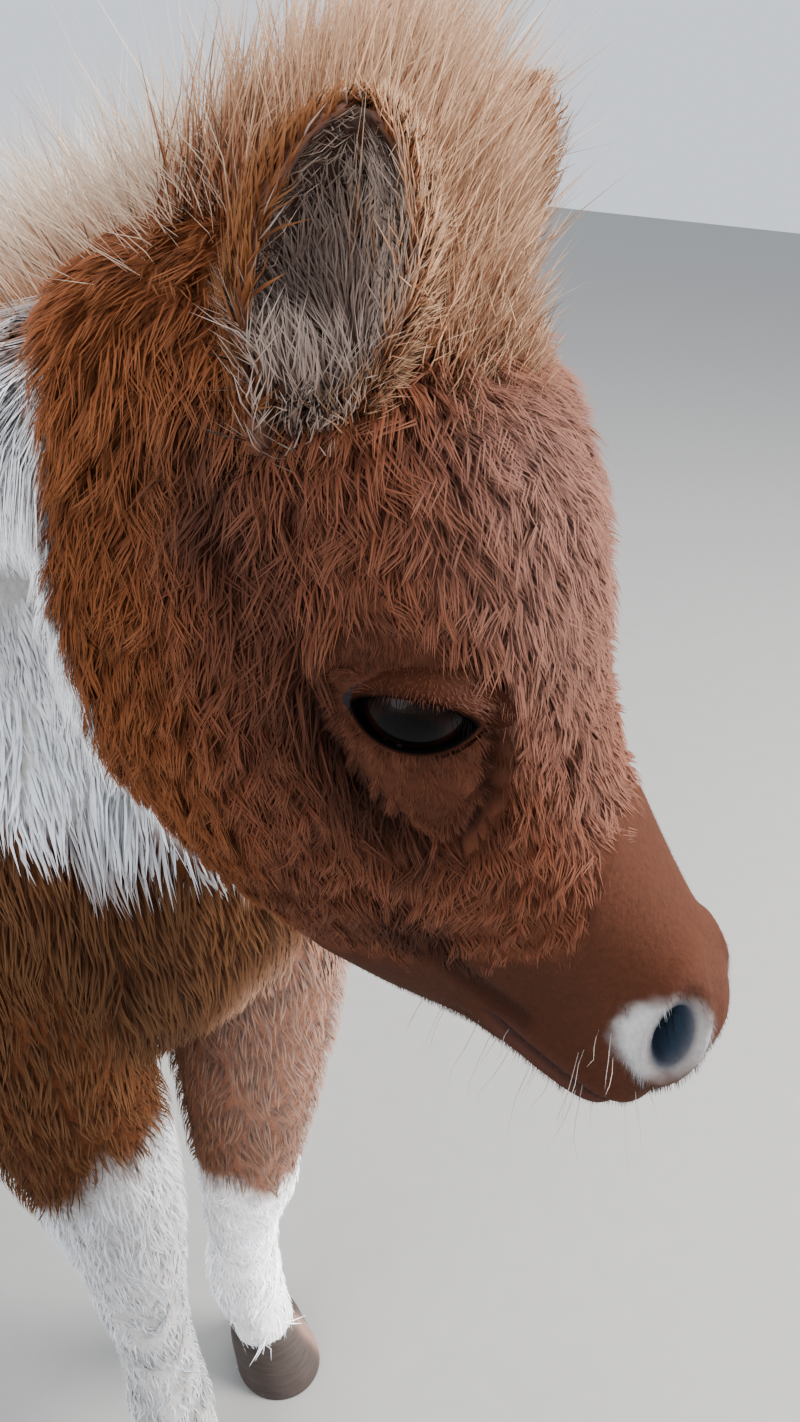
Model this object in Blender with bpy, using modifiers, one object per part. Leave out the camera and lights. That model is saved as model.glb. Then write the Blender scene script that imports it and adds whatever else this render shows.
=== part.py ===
"""A life-size Shetland pony foal, standing with a lowered neck, in a fluffy coat.

Metres, +Z up. The foal faces +X and its left side is +Y. The flesh is lofted through stations and
fused, features are raised and cut into the head, and thin cuts part it into nodes. Mane, forelock,
tail and the long hair behind the legs are tapered locks, fused with the node they grow from.
"""
import math
import random

import bmesh
import bpy
import numpy as np
from mathutils import Matrix, Vector

OBJECT_NAME = "shetland_pony_foal"
GAP = 0.0003
SEED = 11

# The head's place: the poll, and three directions that turn to the head's own axes.
POLL = Vector((0.450, 0.008, 0.800))
HEAD_SCALE = 0.94
HEAD_FORWARD = Vector((0.344, 0.158, -0.925))
HEAD_LEFT = Vector((-0.361, 0.932, 0.025))

# Torso stations: x, top, bottom, half width, how much wider below than above, depth of coat.
TORSO = (
    (0.368, 0.560, 0.510, 0.028, 0.00, 0.014),
    (0.354, 0.588, 0.468, 0.056, 0.00, 0.016),
    (0.322, 0.640, 0.428, 0.084, 0.03, 0.018),
    (0.265, 0.715, 0.408, 0.098, 0.05, 0.018),
    (0.190, 0.745, 0.408, 0.106, 0.08, 0.016),
    (0.080, 0.724, 0.408, 0.120, 0.10, 0.015),
    (-0.040, 0.714, 0.412, 0.130, 0.12, 0.015),
    (-0.140, 0.722, 0.430, 0.127, 0.08, 0.015),
    (-0.215, 0.730, 0.452, 0.120, 0.00, 0.015),
    (-0.285, 0.708, 0.488, 0.102, -0.05, 0.015),
    (-0.328, 0.665, 0.535, 0.070, -0.05, 0.015),
    (-0.346, 0.625, 0.580, 0.030, 0.00, 0.014),
)
# Neck stations: crest x, y, z, underside x, y, z, half width, depth of coat.
NECK = (
    (0.130, 0.000, 0.730, 0.300, 0.000, 0.465, 0.086, 0.016),
    (0.205, 0.001, 0.746, 0.316, 0.000, 0.545, 0.079, 0.018),
    (0.272, 0.002, 0.762, 0.312, -0.004, 0.605, 0.069, 0.021),
    (0.332, 0.004, 0.782, 0.308, -0.008, 0.654, 0.063, 0.022),
    (0.382, 0.006, 0.800, 0.318, -0.010, 0.690, 0.058, 0.020),
    (0.418, 0.007, 0.808, 0.352, -0.006, 0.712, 0.050, 0.016),
)
# Leg stations: height, x, distance from the middle, fore and aft radius, side radius, coat.
FORE = (
    (0.520, 0.262, 0.066, 0.066, 0.030, 0.012),
    (0.440, 0.266, 0.070, 0.066, 0.040, 0.014),
    (0.380, 0.276, 0.063, 0.057, 0.039, 0.014),
    (0.320, 0.285, 0.053, 0.044, 0.032, 0.012),
    (0.270, 0.290, 0.046, 0.032, 0.027, 0.011),
    (0.238, 0.292, 0.044, 0.028, 0.025, 0.010),
    (0.200, 0.289, 0.042, 0.021, 0.021, 0.010),
    (0.150, 0.288, 0.040, 0.018, 0.018, 0.010),
    (0.098, 0.289, 0.040, 0.021, 0.020, 0.011),
    (0.068, 0.298, 0.041, 0.018, 0.019, 0.009),
    (0.042, 0.309, 0.042, 0.019, 0.020, 0.005),
    (0.020, 0.315, 0.042, 0.019, 0.020, 0.005),
    (-0.020, 0.328, 0.042, 0.019, 0.020, 0.005),
)
HIND = (
    (0.600, -0.205, 0.066, 0.085, 0.045, 0.012),
    (0.520, -0.195, 0.082, 0.086, 0.048, 0.014),
    (0.450, -0.195, 0.084, 0.072, 0.043, 0.014),
    (0.390, -0.215, 0.078, 0.052, 0.035, 0.013),
    (0.340, -0.242, 0.072, 0.037, 0.026, 0.012),
    (0.300, -0.265, 0.068, 0.031, 0.023, 0.011),
    (0.270, -0.268, 0.066, 0.027, 0.022, 0.011),
    (0.220, -0.260, 0.064, 0.021, 0.019, 0.011),
    (0.150, -0.252, 0.062, 0.018, 0.018, 0.011),
    (0.098, -0.248, 0.061, 0.023, 0.021, 0.010),
    (0.068, -0.238, 0.061, 0.018, 0.019, 0.008),
    (0.042, -0.227, 0.061, 0.019, 0.020, 0.005),
    (0.020, -0.221, 0.061, 0.019, 0.020, 0.005),
    (-0.020, -0.208, 0.061, 0.019, 0.020, 0.005),
)
# The forelegs stand a little to the right of the middle, and the chest leans with them.
FORE_MIDDLE = -0.008
# Each leg: stations, side, how far it stands forward, then the foot's own shift forward and out.
LEGS = {
    "front_left": (FORE, 1, 0.002, -0.045, 0.020),
    "front_right": (FORE, -1, 0.0, 0.020, 0.000),
    "hind_left": (HIND, 1, -0.030, 0.0, 0.004),
    "hind_right": (HIND, -1, 0.016, 0.0, 0.004),
}
# Hoof layers, from the sole to the sloping coronet: height, fore and aft radius, side radius, shift.
HOOF_SIDES = 16
HOOF = (
    (0.0, 0.0285, 0.0270, 0.0080),
    (0.004, 0.0290, 0.0275, 0.0075),
    (0.031, 0.0235, 0.0240, -0.0030),
)
CORONET, CORONET_SLOPE = 0.031, 0.25
# Head stations, along the line from poll to nose: x, top, height of the widest place, bottom,
# half width, depth of coat. They are in the head's own axes, before its scale.
HEAD = (
    (-0.056, -0.040, -0.062, -0.084, 0.018, 0.014),
    (-0.042, -0.014, -0.056, -0.096, 0.044, 0.018),
    (0.000, 0.018, -0.044, -0.124, 0.056, 0.021),
    (0.040, 0.035, -0.035, -0.152, 0.063, 0.021),
    (0.080, 0.038, -0.026, -0.172, 0.067, 0.018),
    (0.115, 0.032, -0.022, -0.178, 0.067, 0.016),
    (0.150, 0.023, -0.020, -0.172, 0.059, 0.014),
    (0.190, 0.022, -0.018, -0.162, 0.048, 0.011),
    (0.230, 0.032, -0.014, -0.137, 0.038, 0.007),
    (0.265, 0.043, -0.008, -0.103, 0.033, 0.003),
    (0.290, 0.043, -0.004, -0.079, 0.032, 0.002),
    (0.310, 0.032, -0.006, -0.060, 0.030, 0.002),
    (0.325, 0.012, -0.014, -0.048, 0.024, 0.002),
    (0.333, -0.006, -0.022, -0.036, 0.012, 0.002),
)
EYE = Vector((0.110, 0.058, 0.000))
EYE_RADIUS = 0.0205
EYE_LENGTH, EYE_HEIGHT = 0.040, 0.021
EYE_SLANT = 60.0
NOSTRIL = Vector((0.284, 0.026, 0.028))
MOUTH_CORNER, MOUTH_FRONT = Vector((0.274, 0.0, -0.038)), Vector((0.338, 0.0, 0.006))
EAR_BASE = Vector((0.006, 0.060, 0.003))
EAR_LENGTH, EAR_WIDTH = 0.080, 0.052
EAR_LEAN = {1: 0.16, -1: 0.04}
MANE_FROM, MANE_TO = 0.222, 0.345
MANE_COUNT, MANE_LENGTH = 9, 0.085
# Rows across the poll, from the mane's end to the forehead: x, how many locks, half the row's width.
FORELOCK_ROWS = (
    (-0.046, 3, 0.018),
    (-0.032, 3, 0.019),
    (-0.012, 4, 0.019),
    (0.008, 4, 0.019),
    (0.026, 3, 0.018),
)
FORELOCK_LENGTH = 0.058
TAIL_LENGTH, TAIL_CORE = 0.130, 0.72
# Locks down the back of a lower leg: height, angle round the leg, length.
FEATHER = (
    (0.200, 0.4, 0.030),
    (0.170, -0.4, 0.032),
    (0.140, 0.3, 0.034),
    (0.115, -0.3, 0.036),
    (0.095, 0.5, 0.034),
)
TAIL = (
    (-0.300, 0.662, 0.024),
    (-0.345, 0.655, 0.026),
    (-0.370, 0.622, 0.030),
    (-0.382, 0.560, 0.038),
    (-0.388, 0.480, 0.045),
    (-0.390, 0.400, 0.040),
    (-0.388, 0.335, 0.020),
)

COLOURS = {
    "chestnut": (0.30, 0.115, 0.050, 1.0),
    "sandy": (0.42, 0.230, 0.130, 1.0),
    "white": (0.62, 0.600, 0.570, 1.0),
    "ear": (0.22, 0.085, 0.040, 1.0),
    "horn": (0.060, 0.052, 0.050, 1.0),
    "eye": (0.008, 0.006, 0.006, 1.0),
}


def head_frame():
    """The head's own axes: x from poll to nose, y to its left, z up out of the forehead."""
    forward = HEAD_FORWARD.normalized()
    up = forward.cross(HEAD_LEFT).normalized()
    left = up.cross(forward)
    turn = Matrix((forward, left, up)).transposed().to_4x4()
    return Matrix.Translation(POLL) @ turn @ Matrix.Scale(HEAD_SCALE, 4)


def between(rows, steps):
    """Rows of numbers joined by a smooth curve, with this many steps from row to row."""
    rows = np.array(rows, float)
    ends = np.vstack([2 * rows[0] - rows[1], rows, 2 * rows[-1] - rows[-2]])
    found = []
    for i in range(len(rows) - 1):
        a, b, c, d = ends[i : i + 4]
        for t in np.arange(steps) / steps:
            square = (2 * a - 5 * b + 4 * c - d) * t**2
            cube = (3 * b - a - 3 * c + d) * t**3
            found.append(0.5 * (2 * b + (c - a) * t + square + cube))
    return np.array(found + [rows[-1]])


def tool_object(name, mesh):
    """An object in the collection of cutters and blanks, which ends empty."""
    group = bpy.data.collections.get("cutters")
    if group is None:
        group = bpy.data.collections.new("cutters")
        bpy.context.scene.collection.children.link(group)
    obj = bpy.data.objects.new(name, mesh)
    group.objects.link(obj)
    return obj


def mesh_object(name, points, faces):
    mesh = bpy.data.meshes.new(name)
    mesh.from_pydata([tuple(p) for p in points], [], faces)
    mesh.update()
    return tool_object(name, mesh)


def face_outward(obj):
    work = bmesh.new()
    work.from_mesh(obj.data)
    bmesh.ops.recalc_face_normals(work, faces=work.faces)
    work.to_mesh(obj.data)
    work.free()


def tube(name, rings):
    """A closed skin over rings of points, which all hold the same number."""
    count = len(rings[0])
    points = [p for ring in rings for p in ring]
    faces = []
    for i in range(len(rings) - 1):
        for j in range(count):
            k = (j + 1) % count
            faces.append((i * count + j, i * count + k, (i + 1) * count + k, (i + 1) * count + j))
    faces.append(tuple(range(count)))
    faces.append(tuple(range((len(rings) - 1) * count, len(rings) * count)))
    obj = mesh_object(name, points, faces)
    face_outward(obj)
    return obj


def circle(around):
    angles = np.linspace(0, 2 * math.pi, around, endpoint=False)
    return np.cos(angles), np.sin(angles)


def torso_rings(coat=1.0, steps=4, around=28):
    c, s = circle(around)
    rings = []
    for x, top, bottom, half, pear, depth in between(TORSO, steps):
        middle, tall = (top + bottom) / 2, (top - bottom) / 2 + coat * depth
        wide = (half + coat * depth) * (1 - pear * s)
        rings.append(np.stack([np.full(around, x), wide * c, middle + tall * s], 1))
    return rings


def neck_rings(coat=1.0, steps=4, around=28):
    c, s = circle(around)
    rows = between(NECK, steps)
    middles = (rows[:, 0:3] + rows[:, 3:6]) / 2
    ahead = np.gradient(middles, axis=0)
    rings = []
    for row, middle, along in zip(rows, middles, ahead):
        up = (row[0:3] - row[3:6]) / 2
        tall = np.linalg.norm(up)
        up = up / tall
        side = np.cross(up, along)
        side = side / np.linalg.norm(side)
        tall, wide = tall + coat * row[7], row[6] + coat * row[7]
        rings.append(middle + np.outer(tall * s, up) + np.outer(wide * c, side))
    return rings


def leg_rings(name, coat=1.0, steps=3, around=20):
    stations, side, ahead, foot_ahead, foot_out = LEGS[name]
    c, s = circle(around)
    knee, shoulder = 0.238, 0.52
    rings = []
    for height, x, out, fore, wide, depth in between(stations, steps):
        lean = max(0.0, (knee - height) / knee)
        reach = min(1.0, (shoulder - height) / (shoulder - knee))
        x, out = x + ahead * max(0.0, reach) + foot_ahead * lean, out + foot_out * lean
        flat = np.full(around, height)
        radius = coat * depth
        y = side * out + (FORE_MIDDLE * reach if stations is FORE else 0.0)
        rings.append(np.stack([x + (fore + radius) * s, y + (wide + radius) * c, flat], 1))
    return rings


def head_rings(coat=1.0, steps=5, around=40):
    c, s = circle(around)
    frame = np.array(head_frame())
    rings = []
    for x, top, mid, bottom, half, depth in between(HEAD, steps):
        depth = coat * depth
        tall = np.where(s > 0, top - mid + depth, mid - bottom + depth)
        y = (half + depth) * np.sign(c) * np.abs(c) ** 0.85
        z = mid + tall * np.sign(s) * np.abs(s) ** 0.95
        ring = np.stack([np.full(around, x), y, z], 1)
        rings.append(ring @ frame[:3, :3].T + frame[:3, 3])
    return rings


def modified(obj, modifiers):
    """Adds modifiers, in order, and turns their result into the object's own mesh."""
    for kind, values in modifiers:
        modifier = obj.modifiers.new(kind.lower(), kind)
        for key, value in values.items():
            setattr(modifier, key, value)
    bpy.context.view_layer.update()
    shape = obj.evaluated_get(bpy.context.evaluated_depsgraph_get())
    mesh = bpy.data.meshes.new_from_object(shape)
    obj.modifiers.clear()
    old, obj.data = obj.data, mesh
    bpy.data.meshes.remove(old)
    return obj


def joined(name, objects):
    """One object that holds copies of the meshes of all of them. The old objects go."""
    work = bmesh.new()
    for obj in objects:
        work.from_mesh(obj.data)
    mesh = bpy.data.meshes.new(name)
    work.to_mesh(mesh)
    work.free()
    for obj in objects:
        bpy.data.objects.remove(obj)
    return tool_object(name, mesh)


def fused(name, objects, voxel, smoothing):
    obj = joined(name, objects)
    rebuild = ("REMESH", {"mode": "VOXEL", "voxel_size": voxel})
    calm = ("SMOOTH", {"factor": 0.5, "iterations": smoothing})
    return modified(obj, [rebuild, calm])


def thinned(obj, triangles):
    now = sum(len(p.vertices) - 2 for p in obj.data.polygons)
    return modified(obj, [("DECIMATE", {"ratio": min(1.0, triangles / now)})])


def cut(obj, tool, operation, solver="EXACT"):
    """A Boolean. The head's own cuts need the MANIFOLD solver, as EXACT loses its surface."""
    rule = {"operation": operation, "object": tool, "solver": solver}
    modified(obj, [("BOOLEAN", rule)])
    return obj


def largest(obj):
    """Keeps only the largest closed surface of an object, in triangles."""
    work = bmesh.new()
    work.from_mesh(obj.data)
    bmesh.ops.triangulate(work, faces=work.faces)
    folded = {}
    for face in work.faces:
        folded.setdefault(frozenset(face.verts), []).append(face)
    pairs = [face for group in folded.values() if len(group) > 1 for face in group]
    bmesh.ops.delete(work, geom=pairs, context="FACES_ONLY")
    work.faces.ensure_lookup_table()
    work.faces.index_update()
    unseen = set(range(len(work.faces)))
    groups = []
    while unseen:
        start = unseen.pop()
        group, stack = [start], [start]
        while stack:
            for edge in work.faces[stack.pop()].edges:
                for face in edge.link_faces:
                    if face.index in unseen:
                        unseen.discard(face.index)
                        group.append(face.index)
                        stack.append(face.index)
        groups.append(group)
    keep = set(max(groups, key=len))
    spare = [f for f in work.faces if f.index not in keep]
    bmesh.ops.delete(work, geom=spare, context="FACES_ONLY")
    loose = [v for v in work.verts if not v.link_faces]
    bmesh.ops.delete(work, geom=loose, context="VERTS")
    bare = [e for e in work.edges if not e.link_faces]
    bmesh.ops.delete(work, geom=bare, context="EDGES")
    work.to_mesh(obj.data)
    work.free()
    return obj


def copied(obj, name):
    return tool_object(name, obj.data.copy())


def box(name, frame, low, high):
    """A box with corners low and high in the axes of a frame."""
    low, high = Vector(low), Vector(high)
    size = Matrix.Diagonal(high - low).to_4x4()
    work = bmesh.new()
    middle = Matrix.Translation((low + high) / 2)
    bmesh.ops.create_cube(work, size=1.0, matrix=frame @ middle @ size)
    mesh = bpy.data.meshes.new(name)
    work.to_mesh(mesh)
    work.free()
    obj = tool_object(name, mesh)
    face_outward(obj)
    return obj


def aimed(origin, along, across):
    """Axes at a place: x along one direction, y as near another as it can be."""
    x = Vector(along).normalized()
    z = x.cross(Vector(across)).normalized()
    y = z.cross(x)
    return Matrix.Translation(Vector(origin)) @ Matrix((x, y, z)).transposed().to_4x4()


def sloped(x, z, slope):
    """Axes at a place in the middle plane, upright but with x falling or rising."""
    turn = Matrix(((1.0, 0.0, 0.0), (0.0, 1.0, 0.0), (slope, 0.0, 1.0)))
    return Matrix.Translation((x, 0.0, z)) @ turn.to_4x4()


def shoulder_cut():
    """Axes of the cut between neck and torso: x points into the torso."""
    return aimed((0.270, 0.0, 0.680), (-0.718, 0.0, -0.696), (0, 1, 0))


def leg_boxes(name):
    """Corners of the box that holds a leg, and of the hoof under it."""
    stations, side, ahead, foot_ahead, foot_out = LEGS[name]
    inner, outer = 0.006, 0.20
    low, high = (inner, outer) if side > 0 else (-outer, -inner)
    if stations is FORE:
        low, high = low + FORE_MIDDLE, high + FORE_MIDDLE
        return sloped(0.275, 0.410, 0.06), (-0.085, low, -0.6), (0.110, high, 0.0)
    return sloped(-0.195, 0.455, -0.25), (-0.160, low, -0.6), (0.090, high, 0.0)


def grown(obj, distance):
    """Moves every point of an object outward along its normal."""
    mesh = obj.data
    moved = [v.co + v.normal * distance for v in mesh.vertices]
    for vertex, place in zip(mesh.vertices, moved):
        vertex.co = place
    return obj


def ball(name, centre, radius, around=16, rings=9):
    work = bmesh.new()
    bmesh.ops.create_uvsphere(work, u_segments=around, v_segments=rings, radius=radius)
    bmesh.ops.translate(work, verts=work.verts, vec=centre)
    mesh = bpy.data.meshes.new(name)
    work.to_mesh(mesh)
    work.free()
    return tool_object(name, mesh)


def mirrored(vector, side):
    return Vector((vector[0], side * vector[1], vector[2]))


def eye_axes(side):
    """Axes at an eye in the head's frame: x along the slit, y up its height, z out of the head."""
    slant = math.radians(EYE_SLANT)
    out = mirrored((0.16, 0.97, 0.18), side).normalized()
    slit = Vector((math.cos(slant), 0.0, math.sin(slant)))
    slit = (slit - out * slit.dot(out)).normalized()
    rise = out.cross(slit)
    if rise.z < 0:
        rise = -rise
    turn = Matrix((slit, rise, out)).transposed().to_4x4()
    return Matrix.Translation(mirrored(EYE, side)) @ turn


def features(obj):
    """Raises brows, lids, cheek crest, nostril rims and lips on the head's flesh."""
    frame = head_frame()
    inverse = frame.inverted()
    turn = inverse.to_3x3()
    moves = []
    for vertex in obj.data.vertices:
        place = inverse @ vertex.co
        normal = (turn @ vertex.normal).normalized()
        side = 1 if place.y > 0 else -1
        rise = 0.0
        socket = eye_axes(side).inverted() @ place
        near = math.exp(-((socket.x / 0.030) ** 4) - (socket.y / 0.026) ** 4)
        near = near * min(1.0, max(0.0, socket.z / 0.010))
        lid = EYE_RADIUS + 0.0042
        rise += near * (lid - socket.length) * 0.9
        brow = Vector((0.086, side * 0.070, 0.022))
        rise += 0.007 * math.exp(-((place - brow).length / 0.022) ** 2)
        under = Vector((0.155, side * 0.060, -0.040))
        rise -= 0.006 * math.exp(-((place - under).length / 0.028) ** 2)
        cheek = Vector((0.060, side * 0.070, -0.105))
        rise += 0.006 * math.exp(-((place - cheek).length / 0.045) ** 2)
        rim = (place - mirrored(NOSTRIL, side)).length
        rise += 0.0035 * math.exp(-(((rim - 0.013) / 0.007) ** 2))
        lip = abs(place.z - mouth_height(place.x))
        if place.x > 0.262:
            rise += 0.0025 * math.exp(-(((lip - 0.009) / 0.007) ** 2))
        moves.append(vertex.co + (frame.to_3x3() @ normal) * rise)
    for vertex, place in zip(obj.data.vertices, moves):
        vertex.co = place


def mouth_height(x):
    share = (x - MOUTH_CORNER.x) / (MOUTH_FRONT.x - MOUTH_CORNER.x)
    return MOUTH_CORNER.z + share * (MOUTH_FRONT.z - MOUTH_CORNER.z)


def prism(name, frame, outline, low, high):
    """A flat outline in the x and y of a frame, pulled from low to high along its z."""
    curve = bpy.data.curves.new(name, "CURVE")
    curve.dimensions = "2D"
    curve.fill_mode = "BOTH"
    curve.extrude = (high - low) / 2
    spline = curve.splines.new("POLY")
    spline.points.add(len(outline) - 1)
    for point, (x, y) in zip(spline.points, outline):
        point.co = (x, y, 0.0, 1.0)
    spline.use_cyclic_u = True
    guide = tool_object(name, curve)
    bpy.context.view_layer.update()
    shape = guide.evaluated_get(bpy.context.evaluated_depsgraph_get())
    mesh = bpy.data.meshes.new_from_object(shape)
    bpy.data.objects.remove(guide)
    mesh.transform(frame @ Matrix.Translation((0.0, 0.0, (low + high) / 2)))
    work = bmesh.new()
    work.from_mesh(mesh)
    bmesh.ops.remove_doubles(work, verts=work.verts, dist=0.00001)
    bmesh.ops.recalc_face_normals(work, faces=work.faces)
    work.to_mesh(mesh)
    work.free()
    return tool_object(name, mesh)


def almond(length, height, points=14):
    """The outline of an eye's opening, higher above than below."""
    outline = []
    for i in range(points):
        angle = 2 * math.pi * i / points
        x = math.cos(angle)
        lift = 0.56 if math.sin(angle) > 0 else 0.44
        y = math.copysign(abs(math.sin(angle)) ** 1.25, math.sin(angle))
        outline.append((x * length / 2, y * height * lift))
    return outline


def slit_cutter():
    """A thin curved slab round the muzzle, along the line of the mouth."""
    frame = head_frame()
    run = MOUTH_FRONT - MOUTH_CORNER
    place = aimed(MOUTH_CORNER, run, (0, 1, 0))
    outline = [(0.0, -0.06), (0.10, -0.06), (0.10, 0.06), (0.0, 0.06), (0.0, 0.024)]
    for i in range(1, 8):
        angle = math.pi / 2 - math.pi * i / 8
        outline.append((0.060 * math.cos(angle), 0.024 * math.sin(angle)))
    outline.append((0.0, -0.024))
    return prism("cut_mouth", frame @ place, outline, -0.0009, 0.0009)


def nostril_cutter(side):
    frame = head_frame()
    out = mirrored((0.45, 0.80, 0.15), side).normalized()
    place = aimed(mirrored(NOSTRIL, side), (-0.55, 0.0, 0.83), out)
    tool = ball("cut_nostril", Vector((0, 0, 0)), 1.0, 12, 8)
    for vertex in tool.data.vertices:
        x, y, z = vertex.co
        vertex.co = frame @ place @ Vector((0.0115 * x, 0.014 * y, 0.0062 * z + 0.003 * x * x))
    face_outward(tool)
    return tool


def ear_rings(side, around=16):
    """Rings up an ear: full discs in the head, then crescents open to the front and side."""
    up = Vector((-0.80, EAR_LEAN[side], 0.60)).normalized()
    mouth = Vector((-0.20, side * 0.66, 0.74))
    if side > 0:
        mouth = Vector((-0.20, 0.56, 0.80))
    frame = head_frame()
    place = aimed(mirrored(EAR_BASE, side), up, mouth)
    half = around // 2
    rings = []
    heights = (-0.022, -0.006, 0.006, 0.015, 0.028, 0.042, 0.055, 0.066, 0.074)
    widths = (0.30, 0.36, 0.43, 0.48, 0.50, 0.48, 0.41, 0.30, 0.11)
    hollows = (0.0, 0.0, 0.03, 0.55, 0.80, 0.82, 0.75, 0.60, 0.35)
    for height, width, hollow in zip(heights, widths, hollows):
        radius = width * EAR_WIDTH
        bend = 0.10 * EAR_LENGTH * (height / EAR_LENGTH) ** 2
        ring = []
        for j in range(half):
            angle = math.radians(-118 + 236 * j / (half - 1))
            ring.append((-math.cos(angle) * radius, math.sin(angle) * radius))
        wall = 0.0045 if height > 0.0 else radius
        inner = max(radius - wall, radius * 0.05)
        for j in range(half):
            angle = math.radians(110 - 220 * j / (half - 1))
            deep = hollow
            flat_y = (1 - deep) * radius * 0.45
            y = -math.cos(angle) * inner * deep + flat_y
            ring.append((y, math.sin(angle) * inner * 0.96))
        points = [frame @ place @ Vector((height, y + bend, z)) for y, z in ring]
        rings.append(np.array([tuple(p) for p in points]))
    return rings


def lock(points, widths, flats, thick=0.45):
    """A flat tapered lock along points, with its broad faces along the flat directions."""
    verts, faces = [], []
    last = len(points) - 1
    for i in range(last):
        along = (points[i + 1] - points[max(i - 1, 0)]).normalized()
        broad = flats[i] - along * flats[i].dot(along)
        broad.normalize()
        thin = along.cross(broad)
        a, b = broad * widths[i], thin * widths[i] * thick
        verts += [points[i] + a, points[i] + b, points[i] - a, points[i] - b]
    tip = len(verts)
    verts.append(points[last])
    for i in range(last - 1):
        for j in range(4):
            k = (j + 1) % 4
            faces.append((4 * i + j, 4 * i + k, 4 * i + 4 + k, 4 * i + 4 + j))
    for j in range(4):
        faces.append((4 * last - 4 + j, 4 * last - 4 + (j + 1) % 4, tip))
    faces.append((0, 1, 2, 3))
    return verts, faces


def hair(root, out, fall, length, width, flat, sink=0.008, steps=3):
    """A lock that leaves the skin along out and bends toward fall."""
    root, out, fall = Vector(root), Vector(out).normalized(), Vector(fall)
    points = [root - out * sink]
    for i in range(steps):
        share = (i + 1) / steps
        points.append(root + (out * share + fall * share**2) * length)
    widths = [width * (0.85, 1.0, 0.72, 0.45)[i] for i in range(steps)]
    return lock(points, widths, [Vector(flat)] * (steps + 1))


def mane_locks(chance):
    """Three upright rows along the crest of the neck, the outer two leaning to the sides."""
    rows = between(NECK, 10)
    rows = rows[(rows[:, 0] > MANE_FROM) & (rows[:, 0] < MANE_TO)]
    locks = []
    for column, count in ((-1, MANE_COUNT - 1), (0, MANE_COUNT), (1, MANE_COUNT - 1)):
        for i in range(count):
            share = (i + 0.5) / count
            row = rows[int(share * (len(rows) - 1))]
            crest, low = Vector(row[0:3]), Vector(row[3:6])
            up = (crest - low).normalized()
            wide = row[6] + row[7]
            y = column * 0.016
            drop = (wide - math.sqrt(wide**2 - y**2)) * 1.6
            root = crest + up * (row[7] - drop) + Vector((0.0, y, 0.0))
            lean = (chance.uniform(-0.25, 0.05), column * 0.40 + chance.uniform(-0.12, 0.12))
            out = up + Vector((lean[0], lean[1], 0.0))
            fall = (chance.uniform(-0.30, -0.05), column * chance.uniform(0.05, 0.25), -0.06)
            length = MANE_LENGTH * (0.62 + 0.38 * math.sin(math.pi * (0.15 + 0.6 * share)))
            length *= chance.uniform(0.85, 1.1)
            locks.append(hair(root, out, fall, length, 0.0165, (1.0, 0.2 * column, 0.15), 0.012))
    return locks


def head_top(x):
    """Height of the coat on the head's middle line."""
    table = np.array(HEAD)
    return float(np.interp(x, table[:, 0], table[:, 1] + table[:, 5]))


def placed(frame, place, out, fall, length, width, flat, sink):
    """A lock given in the axes of a frame."""
    turn = frame.to_3x3()
    out, fall, flat = (turn @ Vector(way) for way in (out, fall, flat))
    return hair(frame @ Vector(place), out, fall, length, width, flat, sink)


def forelock(chance):
    """Rows across the poll and the top of the forehead, upright like the mane."""
    frame = head_frame()
    locks = []
    for x, count, half in FORELOCK_ROWS:
        for i in range(count):
            y = half * (2 * i / (count - 1) - 1)
            place = (x, y, head_top(x) - 0.35 * abs(y) - 0.002)
            back, rise = chance.uniform(-0.1, 0.1) - 0.80, chance.uniform(-0.1, 0.1) + 0.62
            out = (back, 0.10 * y / half, rise)
            fall = (chance.uniform(-0.15, 0.1), 0.04 * y / half, chance.uniform(0.0, 0.2))
            length = FORELOCK_LENGTH * chance.uniform(0.8, 1.05) * (1.0 if x < 0.02 else 0.7)
            locks.append(placed(frame, place, out, fall, length, 0.0125, (0.3, 1.0, 0.2), 0.012))
    return locks


def tail_locks(chance):
    """Hair from the root of the tail down, in rings that overlap."""
    rows = between(TAIL, 6)
    locks = []
    for level in range(5):
        row = rows[9 + 5 * level]
        for i in range(5):
            angle = 2 * math.pi * (i + 0.5 * (level % 2)) / 5
            side = Vector((-math.cos(angle), math.sin(angle), 0.0))
            if side.x > 0.2 and level < 3:
                continue
            root = Vector((row[0], 0.0, row[1])) + side * row[2] * TAIL_CORE * 0.8
            out = side * 0.55 + Vector((0.0, 0.0, -0.75))
            fall = side * -0.25 + Vector((0.0, 0.0, -0.45))
            length = TAIL_LENGTH * chance.uniform(0.85, 1.1)
            locks.append(hair(root, out, fall, length, 0.021, side.cross(Vector((0, 0, 1))), 0.012))
    return locks


def feather(name, chance):
    """Longer hair down the back of a cannon and fetlock."""
    stations, side = LEGS[name][:2]
    heights = np.array([ring[0][2] for ring in leg_rings(name, 1.0, 4)])
    middles = np.array([ring.mean(axis=0) for ring in leg_rings(name, 1.0, 4)])
    locks = []
    for height, spread, length in FEATHER:
        k = int(np.argmin(np.abs(heights - height)))
        back = Vector((-math.cos(spread), math.sin(spread), 0.0))
        root = Vector(middles[k]) + back * 0.026
        out = back * 0.55 + Vector((0.0, 0.0, -0.7))
        fall = Vector((0.0, 0.0, -0.35))
        across = back.cross(Vector((0, 0, 1)))
        length *= chance.uniform(0.9, 1.1)
        locks.append(hair(root, out, fall, length, 0.0125, across, 0.008))
    return locks


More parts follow.
